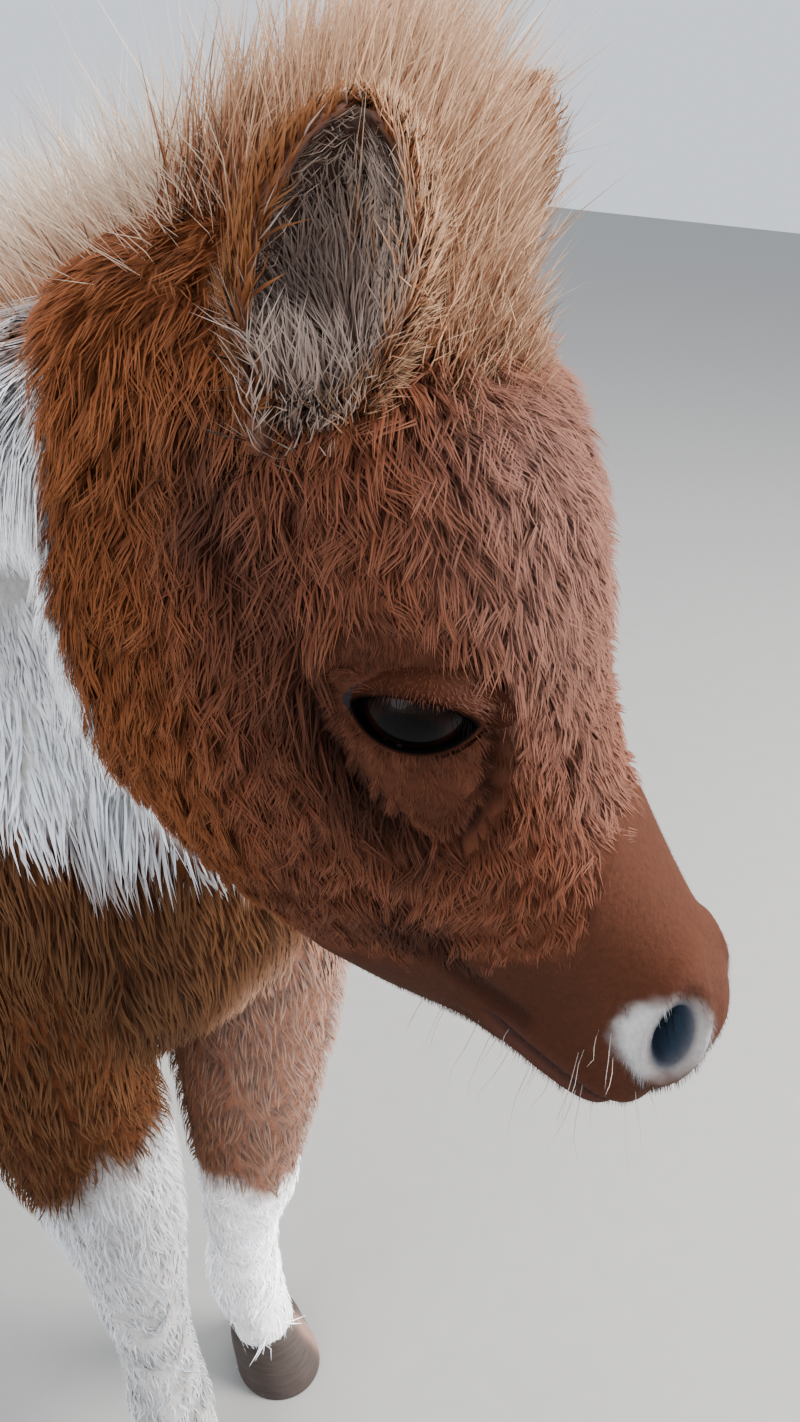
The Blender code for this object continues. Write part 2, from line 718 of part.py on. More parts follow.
def painted(obj, name, colour, roughness):
    material = bpy.data.materials.new(name + "_finish")
    material.use_nodes = True
    shader = material.node_tree.nodes["Principled BSDF"]
    shader.inputs["Base Color"].default_value = COLOURS[colour]
    shader.inputs["Roughness"].default_value = roughness
    shader.inputs["Metallic"].default_value = 0.0
    obj.data.materials.clear()
    obj.data.materials.append(material)


def keep(obj, name, colour, roughness, kept):
    obj.name = name
    obj.data.name = name
    painted(obj, name, colour, roughness)
    for collection in list(obj.users_collection):
        collection.objects.unlink(obj)
    kept.objects.link(obj)
    return obj


def combed(obj, locks, name):
    """Fuses locks with a node in one Boolean union on a collection."""
    group = bpy.data.collections.new(name + "_locks")
    bpy.context.scene.collection.children.link(group)
    strands = []
    for points, faces in locks:
        strand = mesh_object(name + "_lock", points, faces)
        face_outward(strand)
        group.objects.link(strand)
        strands.append(strand)
    rule = {"operation": "UNION", "operand_type": "COLLECTION", "collection": group}
    modified(obj, [("BOOLEAN", {**rule, "solver": "MANIFOLD"})])
    for strand in strands:
        bpy.data.objects.remove(strand)
    bpy.data.collections.remove(group)
    return largest(obj)


def hoof(name):
    stations, side, ahead, foot_ahead, foot_out = LEGS[name]
    rings = leg_rings(name, 1.0, 1)
    middle = rings[-2].mean(axis=0)
    c, s = circle(HOOF_SIDES)
    layers = []
    for height, fore, wide, shift in HOOF:
        x = middle[0] + shift + fore * s
        y = middle[1] + wide * c
        z = np.full(HOOF_SIDES, height)
        if height > 0.01:
            z = coronet_height(x, middle[0]) - GAP
        layers.append(np.stack([x, y, z], 1))
    return tube("hoof_" + name, layers)


def coronet_height(x, middle):
    return CORONET + CORONET_SLOPE * (x - middle)


def foot_box(name):
    """The space of the hoof under a leg, up to the coronet."""
    middle = leg_rings(name, 1.0, 1)[-2].mean(axis=0)
    frame = aimed((middle[0], middle[1], CORONET), (1, 0, CORONET_SLOPE), (0, 1, 0))
    return box("cut_foot", frame, (-0.08, -0.045, -0.1), (0.08, 0.045, 0.0))


def body_nodes():
    pieces = [tube("torso_loft", torso_rings()), tube("neck_loft", neck_rings())]
    for name in LEGS:
        pieces.append(tube("leg_loft", leg_rings(name)))
    body = thinned(fused("body", pieces, 0.0065, 6), 4200)
    beyond = box("cut_neck", shoulder_cut(), (-0.40, -0.2, -0.16), (0.0, 0.2, 0.20))
    neck = copied(body, "neck")
    inside = box("cut_neck_in", shoulder_cut(), (-0.39, -0.19, -0.15), (-GAP, 0.19, 0.19))
    cut(neck, inside, "INTERSECT")
    largest(neck)
    torso = copied(body, "torso")
    cut(torso, beyond, "DIFFERENCE")
    nodes = {"neck": neck}
    for name in LEGS:
        frame, low, high = leg_boxes(name)
        outer = box("cut_leg", frame, low, high)
        leg = copied(body, "leg_" + name)
        nearest = [a + GAP for a in low]
        farthest = [a - GAP for a in high]
        inner = box("cut_leg_in", frame, nearest, farthest)
        cut(leg, inner, "INTERSECT")
        sole = foot_box(name)
        cut(leg, sole, "DIFFERENCE")
        largest(leg)
        nodes["leg_" + name] = leg
        cut(torso, outer, "DIFFERENCE")
        for tool in (outer, inner, sole):
            bpy.data.objects.remove(tool)
    largest(torso)
    nodes["torso"] = torso
    for tool in (beyond, inside, body):
        bpy.data.objects.remove(tool)
    return nodes


def head_node():
    head = fused("head", [tube("head_loft", head_rings(1.0, 6, 48))], 0.0035, 5)
    features(head)
    thinned(head, 3400)
    frame = head_frame()
    eyes = {}
    for side, word in ((1, "left"), (-1, "right")):
        eye = ball("eye_" + word, Vector((0, 0, 0)), EYE_RADIUS)
        for vertex in eye.data.vertices:
            vertex.co = frame @ eye_axes(side) @ vertex.co
        face_outward(eye)
        eyes[side] = eye
        socket = grown(copied(eye, "cut_socket"), GAP)
        outline = almond(EYE_LENGTH, EYE_HEIGHT)
        window = prism("cut_lids", frame @ eye_axes(side), outline, 0.004, 0.06)
        nostril = nostril_cutter(side)
        for tool in (socket, window, nostril):
            cut(head, tool, "DIFFERENCE", "MANIFOLD")
            bpy.data.objects.remove(tool)
    slit = slit_cutter()
    cut(head, slit, "DIFFERENCE", "MANIFOLD")
    bpy.data.objects.remove(slit)
    largest(head)
    return head, eyes


def tail_node():
    rows = between(TAIL, 2)
    c, s = circle(12)
    ahead = np.gradient(rows[:, :2], axis=0)
    rings = []
    for (x, z, radius), (dx, dz) in zip(rows, ahead):
        radius *= TAIL_CORE
        length = math.hypot(dx, dz)
        dx, dz = dx / length, dz / length
        rings.append(np.stack([x - dz * radius * s, radius * c, z + dx * radius * s], 1))
    return tube("tail", rings)


def main():
    for obj in list(bpy.data.objects):
        bpy.data.objects.remove(obj)
    kept = bpy.data.collections.new(OBJECT_NAME)
    bpy.context.scene.collection.children.link(kept)
    nodes = body_nodes()
    head, eyes = head_node()
    tail = tail_node()
    skull = grown(copied(head, "cut_skull"), GAP)
    ears = {}
    for side, word in ((1, "left"), (-1, "right")):
        ear = modified(tube("ear_" + word, ear_rings(side)), [("TRIANGULATE", {})])
        ears[side] = largest(cut(ear, skull, "DIFFERENCE", "MANIFOLD"))
    chance = random.Random(SEED)
    combed(nodes["neck"], mane_locks(chance), "neck")
    cut(nodes["torso"], skull, "DIFFERENCE", "MANIFOLD")
    cut(nodes["neck"], skull, "DIFFERENCE", "MANIFOLD")
    bpy.data.objects.remove(skull)
    combed(head, forelock(chance), "head")
    skull = grown(copied(head, "cut_skull"), 1.5 * GAP)
    cut(nodes["neck"], skull, "DIFFERENCE", "MANIFOLD")
    bpy.data.objects.remove(skull)
    largest(nodes["neck"])
    rump = grown(copied(nodes["torso"], "cut_rump"), GAP)
    cut(tail, rump, "DIFFERENCE")
    bpy.data.objects.remove(rump)
    combed(largest(tail), tail_locks(chance), "tail")
    for name in LEGS:
        combed(nodes["leg_" + name], feather(name, chance), "leg")
    keep(nodes["torso"], "torso", "chestnut", 0.85, kept)
    keep(nodes["neck"], "neck", "sandy", 0.85, kept)
    keep(head, "head", "chestnut", 0.85, kept)
    keep(tail, "tail", "sandy", 0.85, kept)
    for name in LEGS:
        keep(nodes["leg_" + name], "leg_" + name, "white", 0.85, kept)
        keep(hoof(name), "hoof_" + name, "horn", 0.5, kept)
    for side, word in ((1, "left"), (-1, "right")):
        keep(eyes[side], "eye_" + word, "eye", 0.05, kept)
        keep(ears[side], "ear_" + word, "ear", 0.85, kept)
    centred(kept)


def centred(kept):
    """Moves the whole foal so that the middle of its floor area is the origin."""
    places = [np.array([tuple(v.co) for v in obj.data.vertices]) for obj in kept.objects]
    low = np.min([p.min(axis=0) for p in places], axis=0)
    high = np.max([p.max(axis=0) for p in places], axis=0)
    shift = Matrix.Translation((-(low[0] + high[0]) / 2, -(low[1] + high[1]) / 2, 0.0))
    for obj in kept.objects:
        obj.data.transform(shift)


main()
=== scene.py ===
"""A Shetland pony foal in its fluffy autumn coat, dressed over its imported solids.

Metres, +Z up. The foal faces +X and its left side is +Y. The skin is lofted through the stations of the
solids, inside them by the coat's depth, and the coat is tufts that leave it along their lie.
"""
import math

import bmesh
import bpy
import numpy as np
from mathutils import Matrix, Vector
from mathutils.bvhtree import BVHTree
from mathutils.kdtree import KDTree


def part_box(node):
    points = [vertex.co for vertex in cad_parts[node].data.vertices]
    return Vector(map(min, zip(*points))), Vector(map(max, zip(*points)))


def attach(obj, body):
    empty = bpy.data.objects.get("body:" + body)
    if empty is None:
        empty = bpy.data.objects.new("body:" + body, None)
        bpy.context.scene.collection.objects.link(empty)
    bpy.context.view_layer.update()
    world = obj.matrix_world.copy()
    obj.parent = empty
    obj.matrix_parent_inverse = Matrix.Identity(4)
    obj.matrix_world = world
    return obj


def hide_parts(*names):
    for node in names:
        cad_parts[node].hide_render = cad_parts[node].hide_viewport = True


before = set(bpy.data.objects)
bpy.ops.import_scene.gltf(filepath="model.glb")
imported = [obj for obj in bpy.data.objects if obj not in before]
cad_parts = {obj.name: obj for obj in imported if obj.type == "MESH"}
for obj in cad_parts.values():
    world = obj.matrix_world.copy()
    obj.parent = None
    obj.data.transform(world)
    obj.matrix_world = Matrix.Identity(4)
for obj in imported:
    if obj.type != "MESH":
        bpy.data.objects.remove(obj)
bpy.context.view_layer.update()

# ---------------------------------------------------------------- sizes shared with the solids
POLL = Vector((0.450, 0.008, 0.800))
HEAD_SCALE = 0.94
HEAD_FORWARD = Vector((0.344, 0.158, -0.925))
HEAD_LEFT = Vector((-0.361, 0.932, 0.025))
# Torso stations: x, top, bottom, half width, how much wider below than above, depth of coat.
TORSO = (
    (0.368, 0.560, 0.510, 0.028, 0.00, 0.014),
    (0.354, 0.588, 0.468, 0.056, 0.00, 0.016),
    (0.322, 0.640, 0.428, 0.084, 0.03, 0.018),
    (0.265, 0.715, 0.408, 0.098, 0.05, 0.018),
    (0.190, 0.745, 0.408, 0.106, 0.08, 0.016),
    (0.080, 0.724, 0.408, 0.120, 0.10, 0.015),
    (-0.040, 0.714, 0.412, 0.130, 0.12, 0.015),
    (-0.140, 0.722, 0.430, 0.127, 0.08, 0.015),
    (-0.215, 0.730, 0.452, 0.120, 0.00, 0.015),
    (-0.285, 0.708, 0.488, 0.102, -0.05, 0.015),
    (-0.328, 0.665, 0.535, 0.070, -0.05, 0.015),
    (-0.346, 0.625, 0.580, 0.030, 0.00, 0.014),
)
# Neck stations: crest x, y, z, underside x, y, z, half width, depth of coat.
NECK = (
    (0.130, 0.000, 0.730, 0.300, 0.000, 0.465, 0.086, 0.016),
    (0.205, 0.001, 0.746, 0.316, 0.000, 0.545, 0.079, 0.018),
    (0.272, 0.002, 0.762, 0.312, -0.004, 0.605, 0.069, 0.021),
    (0.332, 0.004, 0.782, 0.308, -0.008, 0.654, 0.063, 0.022),
    (0.382, 0.006, 0.800, 0.318, -0.010, 0.690, 0.058, 0.020),
    (0.418, 0.007, 0.808, 0.352, -0.006, 0.712, 0.050, 0.016),
)
# Leg stations: height, x, distance from the middle, fore and aft radius, side radius, depth of coat.
FORE = (
    (0.520, 0.262, 0.066, 0.066, 0.030, 0.012),
    (0.440, 0.266, 0.070, 0.066, 0.040, 0.014),
    (0.380, 0.276, 0.063, 0.057, 0.039, 0.014),
    (0.320, 0.285, 0.053, 0.044, 0.032, 0.012),
    (0.270, 0.290, 0.046, 0.032, 0.027, 0.011),
    (0.238, 0.292, 0.044, 0.028, 0.025, 0.010),
    (0.200, 0.289, 0.042, 0.021, 0.021, 0.010),
    (0.150, 0.288, 0.040, 0.018, 0.018, 0.010),
    (0.098, 0.289, 0.040, 0.021, 0.020, 0.011),
    (0.068, 0.298, 0.041, 0.018, 0.019, 0.009),
    (0.042, 0.309, 0.042, 0.019, 0.020, 0.005),
    (0.020, 0.315, 0.042, 0.019, 0.020, 0.005),
    (-0.020, 0.328, 0.042, 0.019, 0.020, 0.005),
)
HIND = (
    (0.600, -0.205, 0.066, 0.085, 0.045, 0.012),
    (0.520, -0.195, 0.082, 0.086, 0.048, 0.014),
    (0.450, -0.195, 0.084, 0.072, 0.043, 0.014),
    (0.390, -0.215, 0.078, 0.052, 0.035, 0.013),
    (0.340, -0.242, 0.072, 0.037, 0.026, 0.012),
    (0.300, -0.265, 0.068, 0.031, 0.023, 0.011),
    (0.270, -0.268, 0.066, 0.027, 0.022, 0.011),
    (0.220, -0.260, 0.064, 0.021, 0.019, 0.011),
    (0.150, -0.252, 0.062, 0.018, 0.018, 0.011),
    (0.098, -0.248, 0.061, 0.023, 0.021, 0.010),
    (0.068, -0.238, 0.061, 0.018, 0.019, 0.008),
    (0.042, -0.227, 0.061, 0.019, 0.020, 0.005),
    (0.020, -0.221, 0.061, 0.019, 0.020, 0.005),
    (-0.020, -0.208, 0.061, 0.019, 0.020, 0.005),
)
FORE_MIDDLE = -0.008
# Each leg: stations, side, how far it stands forward, then the foot's own shift forward and out.
LEGS = {
    "front_left": (FORE, 1, 0.002, -0.045, 0.020),
    "front_right": (FORE, -1, 0.0, 0.020, 0.0),
    "hind_left": (HIND, 1, -0.030, 0.0, 0.004),
    "hind_right": (HIND, -1, 0.016, 0.0, 0.004),
}
# Head stations in the head's own axes: x, top, height of the widest place, bottom, half width, coat.
HEAD = (
    (-0.056, -0.040, -0.062, -0.084, 0.018, 0.014),
    (-0.042, -0.014, -0.056, -0.096, 0.044, 0.018),
    (0.000, 0.018, -0.044, -0.124, 0.056, 0.021),
    (0.040, 0.035, -0.035, -0.152, 0.063, 0.021),
    (0.080, 0.038, -0.026, -0.172, 0.067, 0.018),
    (0.115, 0.032, -0.022, -0.178, 0.067, 0.016),
    (0.150, 0.023, -0.020, -0.172, 0.059, 0.014),
    (0.190, 0.022, -0.018, -0.162, 0.048, 0.011),
    (0.230, 0.032, -0.014, -0.137, 0.038, 0.007),
    (0.265, 0.043, -0.008, -0.103, 0.033, 0.003),
    (0.290, 0.043, -0.004, -0.079, 0.032, 0.002),
    (0.310, 0.032, -0.006, -0.060, 0.030, 0.002),
    (0.325, 0.012, -0.014, -0.048, 0.024, 0.002),
    (0.333, -0.006, -0.022, -0.036, 0.012, 0.002),
)
EYE = Vector((0.110, 0.058, 0.000))
EYE_RADIUS = 0.0205
EYE_LENGTH, EYE_HEIGHT = 0.040, 0.021
LID_ABOVE, LID_BELOW = 0.55, 0.33
EYE_SLANT = 60.0
NOSTRIL = Vector((0.284, 0.026, 0.028))
MOUTH_CORNER, MOUTH_FRONT = Vector((0.274, 0.0, -0.038)), Vector((0.338, 0.0, 0.006))
EAR_BASE = Vector((0.006, 0.060, 0.003))
EAR_LENGTH, EAR_WIDTH = 0.080, 0.052
EAR_LEAN = {1: 0.16, -1: 0.04}
TAIL = (
    (-0.300, 0.662, 0.024),
    (-0.345, 0.655, 0.026),
    (-0.370, 0.622, 0.030),
    (-0.382, 0.560, 0.038),
    (-0.388, 0.480, 0.045),
    (-0.390, 0.400, 0.040),
    (-0.388, 0.335, 0.020),
)
CORONET, CORONET_SLOPE = 0.031, 0.25
SEED = 5
# The skin lies this share of the coat's depth out from the flesh. Cells and rounds of smoothing of the skin
# and of the coat's outside, and the finer parts of the skin round eyes and nostrils.
SKIN_SHARE = 0.35
SKIN_CELL, SKIN_ROUNDS = 0.0036, 5
OUTSIDE_CELL, OUTSIDE_ROUNDS = 0.0070, 4
MUZZLE_FROM, FINE_REACH, FINEST_REACH = 0.235, 0.034, 0.024
COAT_LEAST, COAT_MOST = 0.0012, 0.020
# Lines on the right of the head, in its own axes with y outward, where the coat lies in a fold and shade is
# painted:
# the fold in front of the eye, the hollow under the cheek crest, the fold over the upper lid.
FOLD_IN_FRONT = (
    (0.030, 0.050, 0.042),
    (0.052, 0.056, 0.040),
    (0.073, 0.062, 0.038),
    (0.087, 0.072, 0.031),
    (0.113, 0.062, 0.029),
    (0.131, 0.060, 0.023),
    (0.152, 0.061, 0.012),
    (0.164, 0.064, -0.007),
)
HOLLOW_BELOW = (
    (0.046, 0.085, -0.034),
    (0.071, 0.086, -0.034),
    (0.109, 0.081, -0.036),
    (0.140, 0.073, -0.035),
    (0.163, 0.064, -0.030),
)
FOLD_ABOVE = ((0.066, 0.085, -0.034), (0.077, 0.084, -0.018), (0.080, 0.081, 0.009), (0.090, 0.072, 0.031))
# Painted shade lies along this line behind the ear.
BEHIND_EAR = ((0.000, 0.066, -0.030), (0.024, 0.078, -0.034), (0.044, 0.082, -0.034))
HEAD_MIDDLE, UNDER_COAT = (0.0, 0.0, -0.025), (1.0, 0.87, 0.87)
# The fold under the cheek, where shade is painted too.
CHEEK_FOLD = ((0.205, 0.050, -0.062), (0.229, 0.046, -0.051), (0.252, 0.040, -0.040), (0.268, 0.036, -0.030))
# The short-haired area round an eye: its middle in x and z, how far it reaches back, ahead, up and down.
ORBIT_X, ORBIT_Z = 0.114, -0.004
ORBIT_BACK, ORBIT_AHEAD, ORBIT_UP, ORBIT_DOWN = 0.050, 0.056, 0.033, 0.031
# The fluffy coat ends here on the nose, further back on its top. Half the nostril's length and width.
NOSE_EDGE, NOSE_EDGE_BACK = 0.231, 0.048
NOSTRIL_HALF, NOSTRIL_NARROW = 0.0125, 0.0078
# Edges of the white, in metres from the foal's own origin.
BAND_FRONT, BAND_LOW, BELLY_TOP = 0.372, 0.588, 0.455
RUMP_FRONT, RUMP_TOP = -0.17, 0.655
SOCK_RIGHT, SOCK_LEFT, SOCK_HIND = 0.352, 0.262, 0.40
RING_INNER, RING_OUTER = 0.0135, 0.0235
# The coat's waves over the head, and the height above which long hair is laid over.
WAVE_LENGTH, WAVE_SWING = 0.0120, 0.58
HAIR_TOP, HAIR_LAID = 0.890, 0.42
LASH_WIDTH, WHISKER_WIDTH = 0.00022, 0.00028


def head_frame():
    """The head's own axes: x from poll to nose, y to its left, z up out of the forehead."""
    forward = HEAD_FORWARD.normalized()
    up = forward.cross(HEAD_LEFT).normalized()
    left = up.cross(forward)
    turn = Matrix((forward, left, up)).transposed().to_4x4()
    return Matrix.Translation(POLL) @ turn @ Matrix.Scale(HEAD_SCALE, 4)


eye_low, eye_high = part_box("eye_left")
HOME = (Vector(eye_low) + Vector(eye_high)) / 2 - head_frame() @ EYE
HEAD_AXES = Matrix.Translation(HOME) @ head_frame()
TO_HEAD = np.array(HEAD_AXES.inverted())
FROM_HEAD = np.array(HEAD_AXES)
HERE = np.array(HOME)


def in_head(points):
    return points @ TO_HEAD[:3, :3].T + TO_HEAD[:3, 3]


def out_of_head(points):
    return points @ FROM_HEAD[:3, :3].T + FROM_HEAD[:3, 3]


def turned_from_head(directions):
    return unit(directions @ FROM_HEAD[:3, :3].T)


def unit(vectors):
    return vectors / np.maximum(np.linalg.norm(vectors, axis=-1, keepdims=True), 1e-9)


def between(rows, steps):
    """Rows of numbers joined by a smooth curve, with this many steps from row to row."""
    rows = np.array(rows, float)
    ends = np.vstack([2 * rows[0] - rows[1], rows, 2 * rows[-1] - rows[-2]])
    found = []
    for i in range(len(rows) - 1):
        a, b, c, d = ends[i : i + 4]
        for t in np.arange(steps) / steps:
            square = (2 * a - 5 * b + 4 * c - d) * t**2
            cube = (3 * b - a - 3 * c + d) * t**3
            found.append(0.5 * (2 * b + (c - a) * t + square + cube))
    return np.array(found + [rows[-1]])


def circle(around):
    angles = np.linspace(0, 2 * math.pi, around, endpoint=False)
    return np.cos(angles), np.sin(angles)


def torso_rings(coat, steps=5, around=48):
    c, s = circle(around)
    rings = []
    for x, top, bottom, half, pear, depth in between(TORSO, steps):
        middle, tall = (top + bottom) / 2, (top - bottom) / 2 + coat * depth
        wide = (half + coat * depth) * (1 - pear * s)
        inward = (1 - coat) * depth * (float(x < -0.31) - float(x > 0.34))
        rings.append(np.stack([np.full(around, x + inward), wide * c, middle + tall * s], 1) + HERE)
    return rings


def neck_rings(coat, steps=5, around=48):
    c, s = circle(around)
    rows = between(NECK, steps)
    middles = (rows[:, 0:3] + rows[:, 3:6]) / 2
    ahead = np.gradient(middles, axis=0)
    rings = []
    for row, middle, along in zip(rows, middles, ahead):
        up = (row[0:3] - row[3:6]) / 2
        tall = np.linalg.norm(up)
        up = up / tall
        side = np.cross(up, along)
        side = side / np.linalg.norm(side)
        tall, wide = tall + coat * row[7], row[6] + coat * row[7]
        rings.append(middle + np.outer(tall * s, up) + np.outer(wide * c, side) + HERE)
    return rings


def leg_rings(name, coat, steps=4, around=32):
    stations, side, ahead, foot_ahead, foot_out = LEGS[name]
    c, s = circle(around)
    knee, shoulder = 0.238, 0.52
    rings = []
    for height, x, out, fore, wide, depth in between(stations, steps):
        lean = max(0.0, (knee - height) / knee)
        reach = min(1.0, (shoulder - height) / (shoulder - knee))
        x, out = x + ahead * max(0.0, reach) + foot_ahead * lean, out + foot_out * lean
        flat = np.full(around, height)
        radius = coat * depth
        y = side * out + (FORE_MIDDLE * reach if stations is FORE else 0.0)
        rings.append(np.stack([x + (fore + radius) * s, y + (wide + radius) * c, flat], 1) + HERE)
    return rings


def head_rings(coat, steps=8, around=72):
    c, s = circle(around)
    rings = []
    for x, top, mid, bottom, half, depth in between(HEAD, steps):
        depth = coat * depth
        tall = np.where(s > 0, top - mid + depth, mid - bottom + depth)
        y = (half + depth) * np.sign(c) * np.abs(c) ** 0.85
        z = mid + tall * np.sign(s) * np.abs(s) ** 0.95
        rings.append(out_of_head(np.stack([np.full(around, x), y, z], 1)))
    return rings


# ---------------------------------------------------------------- mesh tools
foal = bpy.data.collections.new("foal")
bpy.context.scene.collection.children.link(foal)


def mesh_piece(name, points, faces):
    mesh = bpy.data.meshes.new(name)
    mesh.from_pydata(points.tolist() if hasattr(points, "tolist") else points, [], faces)
    mesh.update()
    obj = bpy.data.objects.new(name, mesh)
    foal.objects.link(obj)
    return obj


def tube_faces(rows, count, caps=True):
    faces = []
    for i in range(rows - 1):
        for j in range(count):
            k = (j + 1) % count
            faces.append((i * count + j, i * count + k, (i + 1) * count + k, (i + 1) * count + j))
    if caps:
        faces.append(tuple(range(count)))
        faces.append(tuple(range((rows - 1) * count, rows * count)))
    return faces


def face_outward(obj):
    work = bmesh.new()
    work.from_mesh(obj.data)
    bmesh.ops.recalc_face_normals(work, faces=work.faces)
    work.to_mesh(obj.data)
    work.free()


def tube(name, rings):
    """A closed skin over rings of points, which all hold the same number."""
    obj = mesh_piece(name, np.vstack(rings), tube_faces(len(rings), len(rings[0])))
    face_outward(obj)
    return obj


def modified(obj, modifiers):
    """Adds modifiers, in order, and turns their result into the object's own mesh."""
    for kind, values in modifiers:
        modifier = obj.modifiers.new(kind.lower(), kind)
        for key, value in values.items():
            setattr(modifier, key, value)
    bpy.context.view_layer.update()
    shape = obj.evaluated_get(bpy.context.evaluated_depsgraph_get())
    mesh = bpy.data.meshes.new_from_object(shape)
    obj.modifiers.clear()
    obj.data = mesh
    return obj


def joined(name, objects):
    work = bmesh.new()
    for obj in objects:
        work.from_mesh(obj.data)
    mesh = bpy.data.meshes.new(name)
    work.to_mesh(mesh)
    work.free()
    for obj in objects:
        bpy.data.objects.remove(obj)
    obj = bpy.data.objects.new(name, mesh)
    foal.objects.link(obj)
    return obj


def aimed(origin, along, across):
    """Axes at a place: x along one direction, y as near another as it can be."""
    x = Vector(along).normalized()
    z = x.cross(Vector(across)).normalized()
    y = z.cross(x)
    return Matrix.Translation(Vector(origin)) @ Matrix((x, y, z)).transposed().to_4x4()


def mirrored(vector, side):
    return Vector((vector[0], side * vector[1], vector[2]))


def points_of(mesh):
    found = np.empty(len(mesh.vertices) * 3)
    mesh.vertices.foreach_get("co", found)
    return found.reshape(-1, 3)


def normals_of(mesh):
    found = np.empty(len(mesh.vertices) * 3, np.float32)
    mesh.vertex_normals.foreach_get("vector", found)
    return found.reshape(-1, 3).astype(float)


def triangles_of(mesh):
    mesh.calc_loop_triangles()
    found = np.empty(len(mesh.loop_triangles) * 3, np.int32)
    mesh.loop_triangles.foreach_get("vertices", found)
    return found.reshape(-1, 3)


def mark(obj, name, values):
    """Stores one number per point, for the materials."""
    layer = obj.data.attributes.new(name, "FLOAT", "POINT")
    layer.data.foreach_set("value", np.asarray(values, np.float32))


def shade_smooth(obj):
    obj.data.polygons.foreach_set("use_smooth", np.ones(len(obj.data.polygons), bool))
    obj.data.update()


def ramp(value, low, high):
    share = np.clip((value - low) / (high - low), 0.0, 1.0)
    return share * share * (3 - 2 * share)


def bell(distance, width):
    return np.exp(-((distance / width) ** 2))


def ripple(points, size, seed):
    """Smooth unevenness between about -1 and 1, with forms of about this size."""
    chance = np.random.default_rng(seed)
    total = np.zeros(len(points))
    for _ in range(5):
        direction = unit(chance.normal(size=3)) * (2 * math.pi / size) * chance.uniform(0.6, 1.5)
        total += np.sin(points @ direction + chance.uniform(0, 6.28))
    return total / 2.6


# ---------------------------------------------------------------- the skin
def eye_axes(side):
    """Axes at an eye in the head's frame: x along the slit, y up its height, z out of the head."""
    slant = math.radians(EYE_SLANT)
    out = mirrored((0.16, 0.97, 0.18), side).normalized()
    slit = Vector((math.cos(slant), 0.0, math.sin(slant)))
    slit = (slit - out * slit.dot(out)).normalized()
    rise = out.cross(slit)
    if rise.z < 0:
        rise = -rise
    turn = Matrix((slit, rise, out)).transposed().to_4x4()
    return Matrix.Translation(mirrored(EYE, side)) @ turn


def in_axes(axes, points):
    matrix = np.array(axes.inverted())
    return points @ matrix[:3, :3].T + matrix[:3, 3]


def from_axes(axes, points):
    matrix = np.array(axes)
    return points @ matrix[:3, :3].T + matrix[:3, 3]


def nostril_axes(side):
    out = mirrored((0.45, 0.80, 0.15), side).normalized()
    return aimed(mirrored(NOSTRIL, side), (-0.55, 0.0, 0.83), out)


def mouth_height(x):
    share = (x - MOUTH_CORNER.x) / (MOUTH_FRONT.x - MOUTH_CORNER.x)
    return MOUTH_CORNER.z + share * (MOUTH_FRONT.z - MOUTH_CORNER.z)


def one_side(head):
    """Points of the head, with its left side laid over its right, y outward."""
    return head * np.array((1.0, 0.0, 1.0)) + np.abs(head) * np.array((0.0, 1.0, 0.0))


def from_line(points, line):
    """How far points of the skin are from a bent line, which lies on the coat over it."""
    line = HEAD_MIDDLE + (np.array(line) - HEAD_MIDDLE) * UNDER_COAT
    found = np.full(len(points), 9.0)
    for a, b in zip(line[:-1], line[1:]):
        run = b - a
        share = np.clip((points - a) @ run / (run @ run), 0, 1)
        found = np.minimum(found, np.linalg.norm(points - a - share[:, None] * run, axis=1))
    return found


def orbit(head):
    """1 in the smooth area of short hair round an eye, 0 in the fluffy coat round it."""
    folded = one_side(head)
    wide = np.where(folded[:, 0] < ORBIT_X, ORBIT_BACK, ORBIT_AHEAD)
    high = np.where(folded[:, 2] > ORBIT_Z, ORBIT_UP, ORBIT_DOWN)
    reach = np.hypot((folded[:, 0] - ORBIT_X) / wide, (folded[:, 2] - ORBIT_Z) / high)
    return (1 - ramp(reach, 0.76, 1.02)) * ramp(folded[:, 1], 0.030, 0.045)


def smooth_nose(head):
    """1 on the nose, where the hair is short and smooth, 0 behind the fluffy coat's edge."""
    x, y, z = head.T
    edge = NOSE_EDGE - NOSE_EDGE_BACK * ramp(z, 0.004, 0.036) + 0.0020 * np.sin(900 * y + 500 * z)
    return ramp(x - edge, -0.003, 0.004)


def nostril_spread(head):
    """How far out from a nostril a place is, with the hole's edge at 1."""
    hole = in_axes(nostril_axes(1), one_side(head))
    spread = np.hypot(hole[:, 0] / NOSTRIL_HALF, (hole[:, 2] - 0.25 * hole[:, 0]) / NOSTRIL_NARROW)
    return np.where(np.abs(hole[:, 1]) < 0.03, spread, 9.0)


def lid_reach(u, v):
    """How far out a place in the eye's axes is, with the lids' edge at 1."""
    lift = np.where(v > 0, LID_ABOVE, LID_BELOW) * EYE_HEIGHT
    return np.sqrt((u / (EYE_LENGTH / 2)) ** 2 + (np.abs(v) / lift) ** 1.7)


